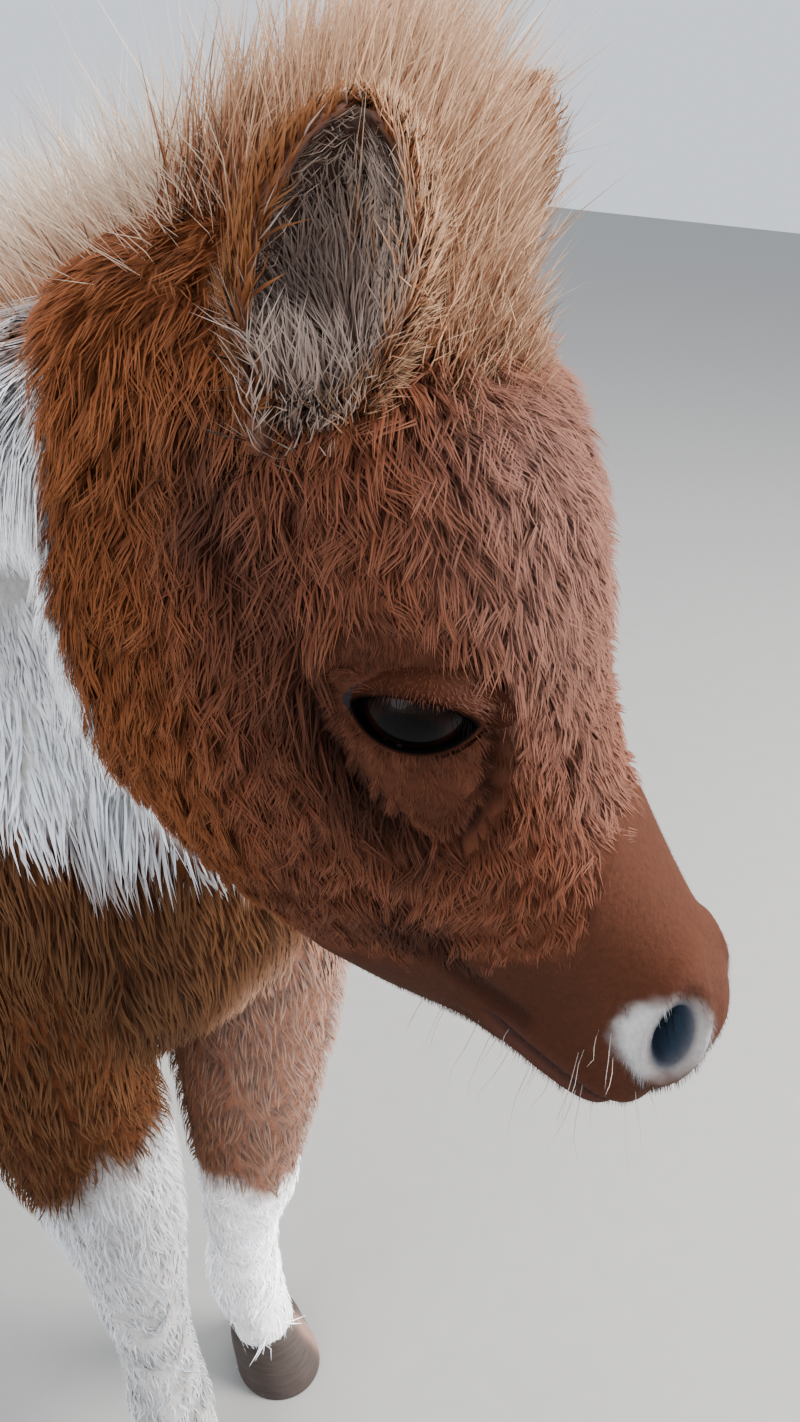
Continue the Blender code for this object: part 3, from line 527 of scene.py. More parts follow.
def head_features(head):
    """How far each point of the head's skin moves out, and the marks of bare and deep places."""
    x, z, folded = head[:, 0], head[:, 2], one_side(head)
    rise, bare, deep = np.zeros((3, len(head)))
    for line, fall, width in ((FOLD_IN_FRONT, 0.0075, 0.0055), (HOLLOW_BELOW, 0.0090, 0.0110),
                              (FOLD_ABOVE, 0.0028, 0.0040), (CHEEK_FOLD, 0.0030, 0.0050)):
        rise -= fall * bell(from_line(folded, line), width)
    socket = in_axes(eye_axes(1), folded)
    coat = np.interp(x, np.array(HEAD)[:, 0], np.array(HEAD)[:, 5])
    ring = orbit(head)
    room = (1 - SKIN_SHARE) * coat
    raised = np.maximum((room - 0.36 * coat) * ring, np.maximum(room - 0.0022, 0) * smooth_nose(head))
    rise += raised
    length = np.linalg.norm(socket, axis=1)
    near = np.exp(-((socket[:, 0] / 0.027) ** 4) - (socket[:, 1] / 0.020) ** 4)
    near = near * np.clip(socket[:, 2] / 0.010, 0, 1)
    reach = lid_reach(socket[:, 0], socket[:, 1])
    lid = EYE_RADIUS + 0.0040
    rise += near * (lid - length - raised) * 0.9
    fold = np.abs(socket[:, 1] - 0.0165 + 10.0 * socket[:, 0] ** 2)
    rise -= 0.0022 * bell(fold, 0.0018) * near * (socket[:, 1] > 0)
    rise -= 0.0012 * bell(socket[:, 1] + 0.0150 - 8.0 * socket[:, 0] ** 2, 0.0018) * near
    brow = np.linalg.norm(folded - np.array((0.066, 0.074, 0.010)), axis=1)
    rise += 0.005 * bell(brow, 0.020)
    cheek = np.linalg.norm(folded - np.array((0.060, 0.070, -0.105)), axis=1)
    rise += 0.006 * bell(cheek, 0.045)
    ridge = np.abs(folded[:, 2] + 0.030 + 0.10 * (x - 0.05)) + 0.4 * np.clip(0.02 - folded[:, 1], 0, 1)
    rise += 0.0035 * bell(ridge + 0.012, 0.012) * ramp(x, 0.10, 0.15) * (1 - ramp(x, 0.19, 0.23))
    rise = np.where((reach < 1.0) & (near > 0.3), (EYE_RADIUS - 0.0035 - length), rise)
    bare += near * bell(np.maximum(reach - 1.0, 0), 0.08)
    # Painted shade: the skin in the socket round the eye is marked deep and coloured dark.
    deep += near * (reach < 1.16)
    spread = nostril_spread(head)
    rise += 0.0038 * bell(spread - 1.6, 0.45)
    rise -= 0.020 * np.sqrt(np.clip(1.0 - spread, 0, 1))
    # The nostril dark inside: partly its own dark skin, partly painted shade.
    deep = np.maximum(deep, ramp(1.30 - spread, 0.0, 0.40))
    bare += 0.55 * bell(np.maximum(spread - 1.1, 0), 0.5)
    gap = np.abs(z - mouth_height(x))
    along = ramp(x, MOUTH_CORNER.x - 0.012, MOUTH_CORNER.x + 0.004)
    rise += 0.0028 * bell(gap - 0.0085, 0.006) * along
    rise -= 0.0060 * bell(gap, 0.0016) * along
    # Painted shade: a dark line where the lips meet.
    deep = np.maximum(deep, 0.9 * bell(gap, 0.0013) * along)
    bare += 0.8 * along * bell(gap, 0.007)
    rise -= 0.0065 * ramp(mouth_height(x) - z, 0.004, 0.020) * ramp(x, 0.255, 0.290)
    return rise, np.clip(bare, 0, 1), np.clip(deep, 0, 1)


def refined(obj, near):
    """Divides the faces near some places, which a function of points tells."""
    work = bmesh.new()
    work.from_mesh(obj.data)
    work.edges.ensure_lookup_table()
    centres = np.array([tuple((e.verts[0].co + e.verts[1].co) / 2) for e in work.edges])
    edges = [e for e, take in zip(work.edges, near(centres)) if take]
    bmesh.ops.subdivide_edges(work, edges=edges, cuts=1, use_grid_fill=True)
    bmesh.ops.triangulate(work, faces=[f for f in work.faces if len(f.verts) > 4])
    work.to_mesh(obj.data)
    work.free()


def on_muzzle(points):
    head = in_head(points)
    return (head[:, 0] > MUZZLE_FROM) & (np.abs(head[:, 2]) < 0.12)


def near_face(points, reach):
    head = in_head(points)
    folded = np.abs(head[:, 1])
    eye = np.sqrt((head[:, 0] - EYE.x) ** 2 + (folded - 0.07) ** 2 + (head[:, 2] - EYE.z) ** 2)
    hole = np.sqrt((head[:, 0] - NOSTRIL.x) ** 2 + (folded - 0.032) ** 2 + (head[:, 2] - NOSTRIL.z) ** 2)
    lips = (np.abs(head[:, 2] - mouth_height(head[:, 0])) < 0.5 * reach) & (head[:, 0] > 0.262)
    return (eye < reach * 1.25) | (hole < reach) | lips


def flesh(coat, voxel, smoothing):
    """One closed form over all stations, out from the flesh by this share of the coat's depth."""
    pieces = [tube("loft", torso_rings(coat)), tube("loft", neck_rings(coat)), tube("loft", head_rings(coat))]
    pieces += [tube("loft", leg_rings(name, max(coat, 0.5))) for name in LEGS]
    obj = joined("skin", pieces)
    rebuild = ("REMESH", {"mode": "VOXEL", "voxel_size": voxel})
    return modified(obj, [rebuild, ("SMOOTH", {"factor": 0.5, "iterations": smoothing})])


def made_skin():
    skin = flesh(SKIN_SHARE, SKIN_CELL, SKIN_ROUNDS)
    refined(skin, on_muzzle)
    for reach in (FINE_REACH, FINEST_REACH):
        refined(skin, lambda p: near_face(p, reach))
    modified(skin, [("SMOOTH", {"factor": 0.5, "iterations": 3})])
    mesh = skin.data
    points, normals = points_of(mesh), normals_of(mesh)
    head = in_head(points)
    near_head = head[:, 2] > head_bottom(head[:, 0]) - 0.004
    shorter = 0.22 * np.maximum(head[:, 0] - 0.296, 0) * near_head
    points -= shorter[:, None] * FROM_HEAD[:3, 0]
    head[:, 0] -= shorter
    rise, bare, deep = head_features(head)
    on_head = ramp(head[:, 0], -0.02, 0.03) * near_head
    points = points + normals * (rise * on_head * HEAD_SCALE)[:, None]
    points[:, 2] = np.maximum(points[:, 2], 0.006)
    mesh.vertices.foreach_set("co", points.astype(np.float32).ravel())
    mesh.update()
    mark(skin, "bare", bare * on_head)
    mark(skin, "deep", deep * on_head)
    # Painted shade: the skin in the eye sockets, behind the balls, is coloured almost black.
    mark(skin, "socket", deep * on_head * (head[:, 0] < 0.20))
    mark(skin, "white", white_with_painted_light(points))
    shade_smooth(skin)
    return skin


# ---------------------------------------------------------------- markings, painted shade and light
def crest_height(x):
    """How high the neck's crest is, from the foal's own origin."""
    return np.interp(x, [row[0] for row in NECK], [row[2] for row in NECK])


def far_fore_leg(x, y, z, start):
    """1 on the front of the left fore leg, where painted light makes the coat paler."""
    return ramp(x + 0.5 * y, start, start + 0.07) * ramp(y, -0.02, 0.03) * ramp(0.50 - z, 0.0, 0.06)


def white_with_painted_light(points):
    """1 where the coat is white: a band over neck and shoulder, belly, legs, a patch on the rump and a ring
    round each nostril; a little white is also painted light on the top of the forehead and the front of the
    far fore leg.
    """
    p = points - HERE
    x, y, z = p.T
    wobble = 0.012 * ripple(points, 0.11, 3) + 0.006 * ripple(points, 0.04, 4)
    head = in_head(points)
    # The band over the neck: its lower edge crosses the shoulder, and the crest stays brown in front.
    lower = BAND_LOW - 0.45 * np.maximum(x - 0.326, 0) - 1.1 * np.maximum(0.290 - x, 0) + 0.7 * wobble
    lower -= 0.030 * ramp(-np.abs(y), -0.045, 0.0) * ramp(x, 0.33, 0.36)
    band = ramp(BAND_FRONT - x, -0.006, 0.010) * ramp(z - lower, -0.008, 0.010)
    band *= ramp(x + wobble, 0.075, 0.105)
    band *= 1 - ramp(z - crest_height(x), -0.026, -0.008) * ramp(x, 0.285, 0.325)
    # On the jowl the white ends at a height that falls from its back to its front.
    back_to_front, heights = (-0.060, 0.0, 0.044, 0.081, 0.110), (-0.092, -0.102, -0.128, -0.140, -0.165)
    edge = np.interp(head[:, 0], back_to_front, heights)
    on_it = ramp(head[:, 0], -0.055, -0.030) * ramp(head[:, 2] - head_bottom(head[:, 0]), -0.020, -0.008)
    under = ramp(edge + 0.4 * wobble - head[:, 2], -0.002, 0.008)
    band = band * (1 - on_it) + under * on_it * (z > 0.58) * ramp(0.790 - z, -0.008, 0.008)
    belly = ramp(BELLY_TOP - z + wobble, -0.01, 0.02) * ramp(0.20 - x, 0, 0.05)
    rump = ramp(RUMP_FRONT - x + wobble + 0.25 * (z - 0.60), -0.01, 0.015) * ramp(RUMP_TOP - z, -0.02, 0.02)
    fore_leg = (x > 0.13) & (z < 0.55)
    sock = np.where(y < FORE_MIDDLE, SOCK_RIGHT + 0.60 * (x - 0.285 + y + 0.055), SOCK_LEFT) + wobble
    fore = ramp(sock - z, -0.010, 0.014)
    hind = ramp(SOCK_HIND - z + wobble, -0.02, 0.03)
    legs = np.where(fore_leg, fore, np.where(x < 0.0, hind, 0.0))
    ring_middle = np.array(NOSTRIL) + (-0.001, 0.006, -0.002)
    far = np.linalg.norm(one_side(head) - ring_middle, axis=1) - 0.002 * ramp(head[:, 2], 0.03, 0.04)
    ring = 1 - ramp(far + 0.0008 * ripple(points, 0.010, 6), RING_INNER, RING_OUTER)
    # Painted light: the top of the forehead mixed a little toward white.
    forehead_painted_light = 0.026 * ramp(head[:, 2], 0.012, 0.038) * ramp(head[:, 0], 0.0, 0.05)
    forehead_painted_light *= (1 - smooth_nose(head)) * on_it
    # Painted light: the front of the far fore leg mixed a little toward white.
    far_leg_painted_light = 0.05 * far_fore_leg(x, y, z, 0.24)
    body = np.maximum.reduce([band, belly * ~fore_leg, rump, ring, far_leg_painted_light, forehead_painted_light])
    return np.clip(np.maximum(body, legs), 0, 1)


def shade_and_dirt_at(points):
    """How dark the coat is coloured. On the head: painted shade in the folds, the hollow under the cheek
    crest, behind the ears, under the cheeks and on the lower face, darker round the eyes and on the smooth
    nose with painted shade towards its underside, and painted light on the top of the head with a faint
    painted highlight on the nose's
    ridge. On the body: an uneven tone, darker on the chest, painted light on the front of the far fore leg, a
    golden lighter coat near the crest, and dirt low on the legs.
    """
    head = in_head(points)
    folded = one_side(head)
    on_it = ramp(head[:, 0], -0.02, 0.01) * ramp(head[:, 2] - head_bottom(head[:, 0]), -0.01, 0.005)
    # Darker round the eyes, and painted shade along the head's folds and in the hollow under the cheek crest.
    shade = 0.45 * orbit(head)
    for line, dark, width in ((FOLD_IN_FRONT, 0.95, 0.0060), (FOLD_ABOVE, 0.65, 0.0050),
                              (CHEEK_FOLD, 0.90, 0.0160), (BEHIND_EAR, 0.75, 0.0120)):
        shade = np.maximum(shade, dark * bell(from_line(folded, line), width))
    shade = np.maximum(shade, bell(from_line(folded + np.array((0.0, 0.0, -0.003)), HOLLOW_BELOW), 0.0125))
    # Painted shade on the lower face and under the cheeks.
    shade = shade + 0.10 * ramp(-0.02 - head[:, 2], 0.0, 0.03)
    shade = np.maximum(shade, 0.35 * ramp(head[:, 0], 0.12, 0.19) * ramp(-0.045 - head[:, 2], 0.0, 0.03))
    # The smooth nose darker, with painted shade towards its underside.
    shade = np.maximum(shade, (0.37 + 0.32 * ramp(0.024 - head[:, 2], 0.0, 0.045)) * smooth_nose(head))
    # Painted light on the top of the head, and a faint painted highlight on the nose's ridge.
    ridge = ramp(head[:, 2], 0.018, 0.036) * ramp(head[:, 0], 0.17, 0.22)
    shade = shade - 0.02 * ridge - 0.14 * ramp(head[:, 2], 0.0, 0.03) * (1 - smooth_nose(head))
    x, y, z = (points - HERE).T
    # An uneven tone over the body, darker on the chest and the tops of the fore legs.
    body = 0.12 + 0.12 * ripple(points, 0.16, 31) + 0.20 * ramp(x, 0.20, 0.27) * ramp(0.58 - z, 0.0, 0.04)
    # Painted light on the front of the far fore leg.
    body -= 1.9 * far_fore_leg(x, y, z, 0.22)
    # A golden, lighter coat near the crest.
    body -= 0.40 * ramp(z - crest_height(x), -0.070, -0.015) * ramp(x, 0.26, 0.30)
    # Dirt round the hooves, and darker patches lower on the legs.
    body += 0.25 * ramp(0.085 - z, 0.0, 0.04) * (0.5 + 0.5 * ripple(points, 0.02, 32))
    body += 0.35 * ramp(0.26 - z, 0.0, 0.08) * ramp(ripple(points, 0.022, 33), 0.05, 0.55)
    return np.clip(shade * on_it + body * (1 - on_it), -2.0, 1.0)


def warmth(points):
    """1 where the brown is golden, on neck, jowl and body, 0 where it is redder, on the face."""
    head = in_head(points)
    face = ramp(head[:, 2] + 0.35 * head[:, 0], -0.075, -0.020) * ramp(head[:, 0], -0.02, 0.03)
    near_head = ramp(head[:, 2] - head_bottom(head[:, 0]), -0.02, 0.0)
    return 1 - face * near_head


def wave_phase(points):
    """Where a place is in the waves that run across the lie of the fluffy coat on the head."""
    head = in_head(points)
    across = 0.55 * np.abs(head[:, 1]) + 0.30 * head[:, 2]
    uneven = 0.55 * ripple(points, 0.034, 11) + 0.25 * ripple(points, 0.014, 16)
    return 2 * math.pi * ((head[:, 0] + across) / WAVE_LENGTH + uneven)


def head_bottom(x):
    table = np.array(HEAD)
    return np.interp(x, table[:, 0], table[:, 3] - table[:, 5])


# ---------------------------------------------------------------- tufts
def sampled(surface, weights, count, chance):
    """Places spread over a surface by weight: points, normals, and any marks at them."""
    points, normals, triangles, marks = surface
    corner = points[triangles]
    area = np.linalg.norm(np.cross(corner[:, 1] - corner[:, 0], corner[:, 2] - corner[:, 0]), axis=1)
    total = np.cumsum(area * weights[triangles].mean(axis=1))
    picks = (np.arange(count) + chance.uniform(0, 1, count)) / count * total[-1]
    chosen = np.minimum(np.searchsorted(total, picks), len(triangles) - 1)
    a, b = chance.uniform(0, 1, (2, count))
    flip = a + b > 1
    a, b = np.where(flip, 1 - a, a), np.where(flip, 1 - b, b)
    mix = np.stack([1 - a - b, a, b], 1)
    found = triangles[chosen]
    place = (points[found] * mix[:, :, None]).sum(axis=1)
    normal = unit((normals[found] * mix[:, :, None]).sum(axis=1))
    return place, normal, {key: (value[found] * mix).sum(axis=1) for key, value in marks.items()}


def flat_on(lie, normal):
    return unit(lie - normal * (lie * normal).sum(axis=1, keepdims=True))


def tuft_lines(place, normal, lie, length, depth, rings, chance, stray, curl, sag=0.0):
    """Middle lines of tufts that leave the skin and bend over along their lie."""
    count = len(place)
    lie = flat_on(flat_on(lie, normal) + chance.normal(0, stray, (count, 3)), normal)
    across = np.cross(normal, lie)
    sway = chance.normal(0, curl, count)
    lines = np.empty((count, rings + 1, 3))
    for i, s in enumerate(np.linspace(0, 1, rings + 1)):
        out = depth * (1 - (1 - s) ** 1.8)
        lines[:, i] = place + lie * (length * s)[:, None] + normal * (out - 0.0012)[:, None]
        lines[:, i] += across * (sway * length * s * s)[:, None]
        lines[:, i, 2] -= sag * length * s * s
    return lines


def drawn_together(lines, every, pull, chance):
    """Draws hairs toward the middle hair of their lock, more and more toward the tip."""
    roots = lines[:, 0]
    count, places = lines.shape[:2]
    leaders = chance.choice(count, max(1, count // every), replace=False)
    tree = KDTree(len(leaders))
    for i, k in enumerate(leaders):
        tree.insert(roots[k], i)
    tree.balance()
    nearest = np.array([leaders[tree.find(p)[1]] for p in roots.tolist()])
    aim = lines[nearest] + 0.20 * (roots - roots[nearest])[:, None]
    share = np.linspace(0, 1, places)[None, :, None] ** 1.2
    mix = share * (pull * chance.uniform(0.5, 1.0, count))[:, None, None]
    return lines * (1 - mix) + aim * mix, nearest


def hairs(name, lines, facing, width, chart, marks, thick=0.4, soften=0.8, taper=(0.8, 1.0, 0.6)):
    """One mesh of tapered hairs of three sides along their middle lines."""
    count, places = lines.shape[:2]
    rings, share = places - 1, np.linspace(0, 1, places)
    profile = np.interp(share, (0, 0.35, 0.75, 1.0), taper + (0.0,))
    each = 3 * rings + 1
    verts, own = np.empty((count, each, 3)), np.empty((count, each, 3))
    for i in range(rings):
        along = unit(lines[:, i + 1] - lines[:, max(i - 1, 0)])
        across = unit(np.cross(facing, along))
        third = np.cross(along, across)
        half = (width * profile[i] * 0.5)[:, None]
        verts[:, 3 * i] = lines[:, i] - across * half
        verts[:, 3 * i + 1] = lines[:, i] + across * half
        verts[:, 3 * i + 2] = lines[:, i] + third * half * 2 * thick
        own[:, 3 * i], own[:, 3 * i + 1] = 0.6 * third - across, 0.6 * third + across
        own[:, 3 * i + 2] = third
    verts[:, -1], own[:, -1] = lines[:, -1], third
    faces = [(0, 2, 1)]
    for i in range(rings - 1):
        for j in range(3):
            a, b = 3 * i + j, 3 * i + (j + 1) % 3
            faces += [(a, b, b + 3), (a, b + 3, a + 3)]
    last = 3 * (rings - 1)
    faces += [(last + j, last + (j + 1) % 3, 3 * rings) for j in range(3)]
    triangles = (np.array(faces)[None] + (np.arange(count) * each)[:, None, None]).reshape(-1, 3)
    obj = quick_mesh(name, verts.reshape(-1, 3), triangles)
    along = np.append(np.repeat(share[:rings], 3), 1.0)
    mark(obj, "tip", np.tile(along, count))
    for key, values in marks.items():
        mark(obj, key, np.repeat(values, each))
    shade_smooth(obj)
    blend = unit(unit(own) * (1 - soften) + facing[:, None] * soften)
    obj.data.normals_split_custom_set_from_vertices(blend.reshape(-1, 3).tolist())
    across = np.append(np.tile((0.0, 1.0, 0.5), rings), 0.5)
    corner = np.stack(chart(lines[:, 0]), 1)
    patch = (corner[:, None] + np.stack([across, along], 1)[None] * BAKE_PATCH).reshape(-1, 2)
    layer = obj.data.uv_layers.new(name="OFBake")
    layer.data.foreach_set("uv", patch[triangles.ravel()].astype(np.float32).ravel())
    return obj


def quick_mesh(name, points, triangles):
    mesh = bpy.data.meshes.new(name)
    mesh.vertices.add(len(points))
    mesh.vertices.foreach_set("co", np.asarray(points, np.float32).ravel())
    mesh.loops.add(triangles.size)
    mesh.loops.foreach_set("vertex_index", triangles.astype(np.int32).ravel())
    mesh.polygons.add(len(triangles))
    mesh.polygons.foreach_set("loop_start", np.arange(0, triangles.size, 3, dtype=np.int32))
    mesh.update(calc_edges=True)
    obj = bpy.data.objects.new(name, mesh)
    foal.objects.link(obj)
    return obj


# Charts for OFBake: where a place is on an unwrap of the skin's own shape.
BAKE_PATCH = 0.003


def head_chart(place):
    head = in_head(place)
    angle = np.arctan2(head[:, 1], head[:, 2] + 0.03)
    return 0.02 + 0.95 * (head[:, 0] + 0.10) / 0.46, 0.02 + 0.95 * (angle + math.pi) / (2 * math.pi)


def body_chart(place):
    p = place - HERE
    angle = np.arctan2(p[:, 1], p[:, 2] - 0.58)
    return 0.02 + 0.95 * (p[:, 0] + 0.40) / 0.90, 0.02 + 0.95 * (angle + math.pi) / (2 * math.pi)


def leg_chart(place):
    p = place - HERE
    column = (p[:, 0] > 0) * 0.5 + (p[:, 1] > 0) * 0.25
    middle = np.where(p[:, 0] > 0, 0.29, -0.24)
    angle = np.arctan2(np.abs(p[:, 1]) - 0.05, p[:, 0] - middle)
    return column + 0.01 + 0.22 * (angle + math.pi) / (2 * math.pi), 0.02 + 1.6 * np.clip(p[:, 2], 0, 0.58)


def ear_chart(place):
    head = in_head(place)
    return 0.5 + 3.0 * head[:, 1], 0.5 + 3.0 * (head[:, 0] + 0.02)


def tail_chart(place):
    p = place - HERE
    angle = np.arctan2(p[:, 1], p[:, 0] + 0.39)
    return 0.02 + 0.95 * (angle + math.pi) / (2 * math.pi), 0.02 + 1.3 * np.clip(p[:, 2], 0, 0.72)


# ---------------------------------------------------------------- materials
def node(tree, kind, **inputs):
    made = tree.nodes.new(kind)
    for key, value in inputs.items():
        if key in made.inputs:
            made.inputs[key].default_value = value
    return made


def reading(tree, name):
    made = tree.nodes.new("ShaderNodeAttribute")
    made.attribute_name = name
    return made.outputs["Fac"]


def mixed(tree, factor, first, second, kind="MIX"):
    made = tree.nodes.new("ShaderNodeMix")
    made.data_type = "RGBA"
    made.blend_type = kind
    for key, value in (("Factor", factor), ("A", first), ("B", second)):
        if hasattr(value, "links"):
            tree.links.new(value, made.inputs[key])
        else:
            made.inputs[key].default_value = value
    return made.outputs["Result"]


def sockets(group, inputs, outputs):
    for name, kind, value in inputs:
        made = group.interface.new_socket(name=name, in_out="INPUT", socket_type=kind)
        made.default_value = value
    for name, kind in outputs:
        group.interface.new_socket(name=name, in_out="OUTPUT", socket_type=kind)


def linear(red, green, blue):
    """A colour as the eye names it, 0 to 255, in the numbers that a shader takes."""
    return tuple((c / 255) ** 2.2 for c in (red, green, blue)) + (1.0,)


def coat_colour_group():
    """The coat's colour from its markings, from root to tip, with each tuft a little its own."""
    group = bpy.data.node_groups.new("coat_colour", "ShaderNodeTree")
    colour, number = "NodeSocketColor", "NodeSocketFloat"
    sockets(group, (("Root", colour, linear(80, 42, 26)), ("Shaft", colour, linear(150, 92, 62)),
                    ("Tip", colour, linear(186, 128, 92)), ("White", colour, linear(225, 222, 216)),
                    ("White root", colour, linear(160, 148, 138)), ("Along", number, 0.5),
                    ("Tint", number, 0.5), ("Crest", number, 0.5), ("Marking", number, 0.0),
                    ("Shade", number, 0.0), ("Warmth", number, 0.0)),
            (("Colour", colour),))
    start, end = group.nodes.new("NodeGroupInput"), group.nodes.new("NodeGroupOutput")
    take = start.outputs

    def spread_over(name, low, high, first=0.0, last=1.0):
        made = node(group, "ShaderNodeMapRange", **{"From Min": low, "From Max": high,
                                                    "To Min": first, "To Max": last})
        group.links.new(take[name], made.inputs["Value"])
        return made.outputs["Result"]

    def times(first, second):
        made = node(group, "ShaderNodeMath")
        made.operation = "MULTIPLY"
        group.links.new(first, made.inputs[0])
        group.links.new(second, made.inputs[1])
        return made.outputs[0]

    lower = spread_over("Along", 0.0, 0.55)
    brown = mixed(group, lower, take["Root"], take["Shaft"])
    brown = mixed(group, spread_over("Along", 0.45, 1.0), brown, take["Tip"])
    brown = mixed(group, take["Warmth"], brown, (1.22, 1.16, 0.78, 1.0), "MULTIPLY")
    pale = mixed(group, lower, take["White root"], take["White"])
    found = mixed(group, take["Marking"], brown, pale)
    # Crest lightens the tops of the coat's waves and darkens their troughs, painted light and shade; the
    # shade mark carries painted shade, painted light and dirt.
    own = times(spread_over("Tint", 0.0, 1.0, 0.74, 1.24), spread_over("Crest", 0.0, 1.0, 0.76, 1.18))
    whole = times(own, spread_over("Shade", -2.0, 1.0, 2.52, 0.24))
    grey = group.nodes.new("ShaderNodeCombineColor")
    for name in ("Red", "Green", "Blue"):
        group.links.new(whole, grey.inputs[name])
    found = mixed(group, 1.0, found, grey.outputs["Color"], "MULTIPLY")
    group.links.new(found, end.inputs["Colour"])
    return group


COAT_COLOUR = coat_colour_group()


def new_material(name, roughness, **constants):
    material = bpy.data.materials.new(name)
    material.use_nodes = True
    shader = material.node_tree.nodes["Principled BSDF"]
    shader.inputs["Roughness"].default_value = roughness
    for key, value in constants.items():
        shader.inputs[key.replace("_", " ")].default_value = value
    return material, material.node_tree, shader


def coat_colour(tree, colours, marks):
    """The coat's colour group in a material: its colours, and the mesh's marks that drive it."""
    group = tree.nodes.new("ShaderNodeGroup")
    group.node_tree = COAT_COLOUR
    for key, value in zip(("Root", "Shaft", "Tip", "White", "White root"), colours):
        group.inputs[key].default_value = linear(*value)
    for key, name in marks:
        tree.links.new(reading(tree, name), group.inputs[key])
    return group


SKIN_MARKS = (("Marking", "white"), ("Shade", "shade"), ("Warmth", "warm"))
TUFT_MARKS = (("Along", "tip"), ("Tint", "tint"), ("Crest", "crest")) + SKIN_MARKS


def hair_material(name, root, shaft, tip, white=(246, 246, 247), white_root=(232, 230, 230)):
    material, tree, shader = new_material(name, 0.62, Specular_IOR_Level=0.10)
    group = coat_colour(tree, (root, shaft, tip, white, white_root), TUFT_MARKS)
    tree.links.new(group.outputs["Colour"], shader.inputs["Base Color"])
    return material


def bumped(tree, shader, scale, strength, detail=4.0, stretch=(1, 1, 1)):
    coordinates = tree.nodes.new("ShaderNodeTexCoord")
    mapping = tree.nodes.new("ShaderNodeMapping")
    mapping.inputs["Scale"].default_value = stretch
    noise = node(tree, "ShaderNodeTexNoise", Scale=scale, Detail=detail)
    bump = node(tree, "ShaderNodeBump", Strength=strength, Distance=0.001)
    tree.links.new(coordinates.outputs["Object"], mapping.inputs["Vector"])
    tree.links.new(mapping.outputs["Vector"], noise.inputs["Vector"])
    tree.links.new(noise.outputs["Fac"], bump.inputs["Height"])
    tree.links.new(bump.outputs["Normal"], shader.inputs["Normal"])
    return noise


def skin_material():
    material, tree, shader = new_material("skin_under_coat", 0.8, Specular_IOR_Level=0.08)
    noise = bumped(tree, shader, 420.0, 0.5)
    brown, white = ((70, 38, 25), (94, 57, 42), (112, 74, 58)), ((222, 218, 214), (208, 202, 198))
    group = coat_colour(tree, brown + white, SKIN_MARKS)
    group.inputs["Along"].default_value = 0.4
    tree.links.new(noise.outputs["Fac"], group.inputs["Tint"])
    # Deep places darkened: painted shade in the eye sockets and along the mouth, partly the nostrils' own
    # dark skin; the socket mark paints the skin behind the eyes almost black.
    found = mixed(tree, reading(tree, "bare"), group.outputs["Colour"], linear(74, 50, 44))
    found = mixed(tree, reading(tree, "deep"), found, linear(46, 56, 68))
    found = mixed(tree, reading(tree, "socket"), found, linear(22, 13, 10))
    tree.links.new(found, shader.inputs["Base Color"])
    return material


def lid_material():
    material, tree, shader = new_material("lid_skin", 0.6, Specular_IOR_Level=0.02)
    noise = bumped(tree, shader, 500.0, 0.4)
    # The lid's browns are dark: partly the skin's own colour, partly painted shade under the brow.
    found = mixed(tree, noise.outputs["Fac"], linear(46, 26, 19), linear(64, 38, 28))
    found = mixed(tree, reading(tree, "edge"), found, linear(10, 7, 8))
    tree.links.new(found, shader.inputs["Base Color"])
    return material


def ear_skin_material():
    material, tree, shader = new_material("ear_skin", 0.65, Specular_IOR_Level=0.3)
    noise = bumped(tree, shader, 300.0, 0.4)
    outside = mixed(tree, noise.outputs["Fac"], linear(92, 54, 36), linear(110, 68, 48))
    inside = mixed(tree, noise.outputs["Fac"], linear(70, 52, 45), linear(98, 78, 70))
    tree.links.new(mixed(tree, reading(tree, "inner"), outside, inside), shader.inputs["Base Color"])
    return material


def eye_material():
    material, tree, shader = new_material("wet_eye", 0.35, Specular_IOR_Level=0.05, Coat_Weight=0.25,
                                          Coat_Roughness=0.04, Coat_IOR=1.3)
    iris, pupil = linear(26, 15, 11), linear(5, 5, 7)
    found = mixed(tree, reading(tree, "pupil"), iris, pupil)
    found = mixed(tree, reading(tree, "rim"), found, linear(16, 9, 8))
    tree.links.new(found, shader.inputs["Base Color"])
    return material


def hoof_material():
    material, tree, shader = new_material("hoof_horn", 0.55, Specular_IOR_Level=0.4)
    noise = bumped(tree, shader, 60.0, 0.4, 6.0, (1, 1, 8))
    found = mixed(tree, noise.outputs["Fac"], linear(46, 39, 36), linear(82, 70, 64))
    found = mixed(tree, reading(tree, "stripe"), found, linear(156, 122, 108))
    tree.links.new(found, shader.inputs["Base Color"])
    return material


def plain_material(name, low, high, roughness, scale=200.0, strength=0.3, **constants):
    material, tree, shader = new_material(name, roughness, **constants)
    noise = bumped(tree, shader, scale, strength)
    found = mixed(tree, noise.outputs["Fac"], linear(*low), linear(*high))
    tree.links.new(found, shader.inputs["Base Color"])
    return material


def finish(piece, material, replaces=()):
    piece.data.materials.clear()
    piece.data.materials.append(material)
    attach(piece, "root")
    if replaces:
        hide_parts(*replaces)


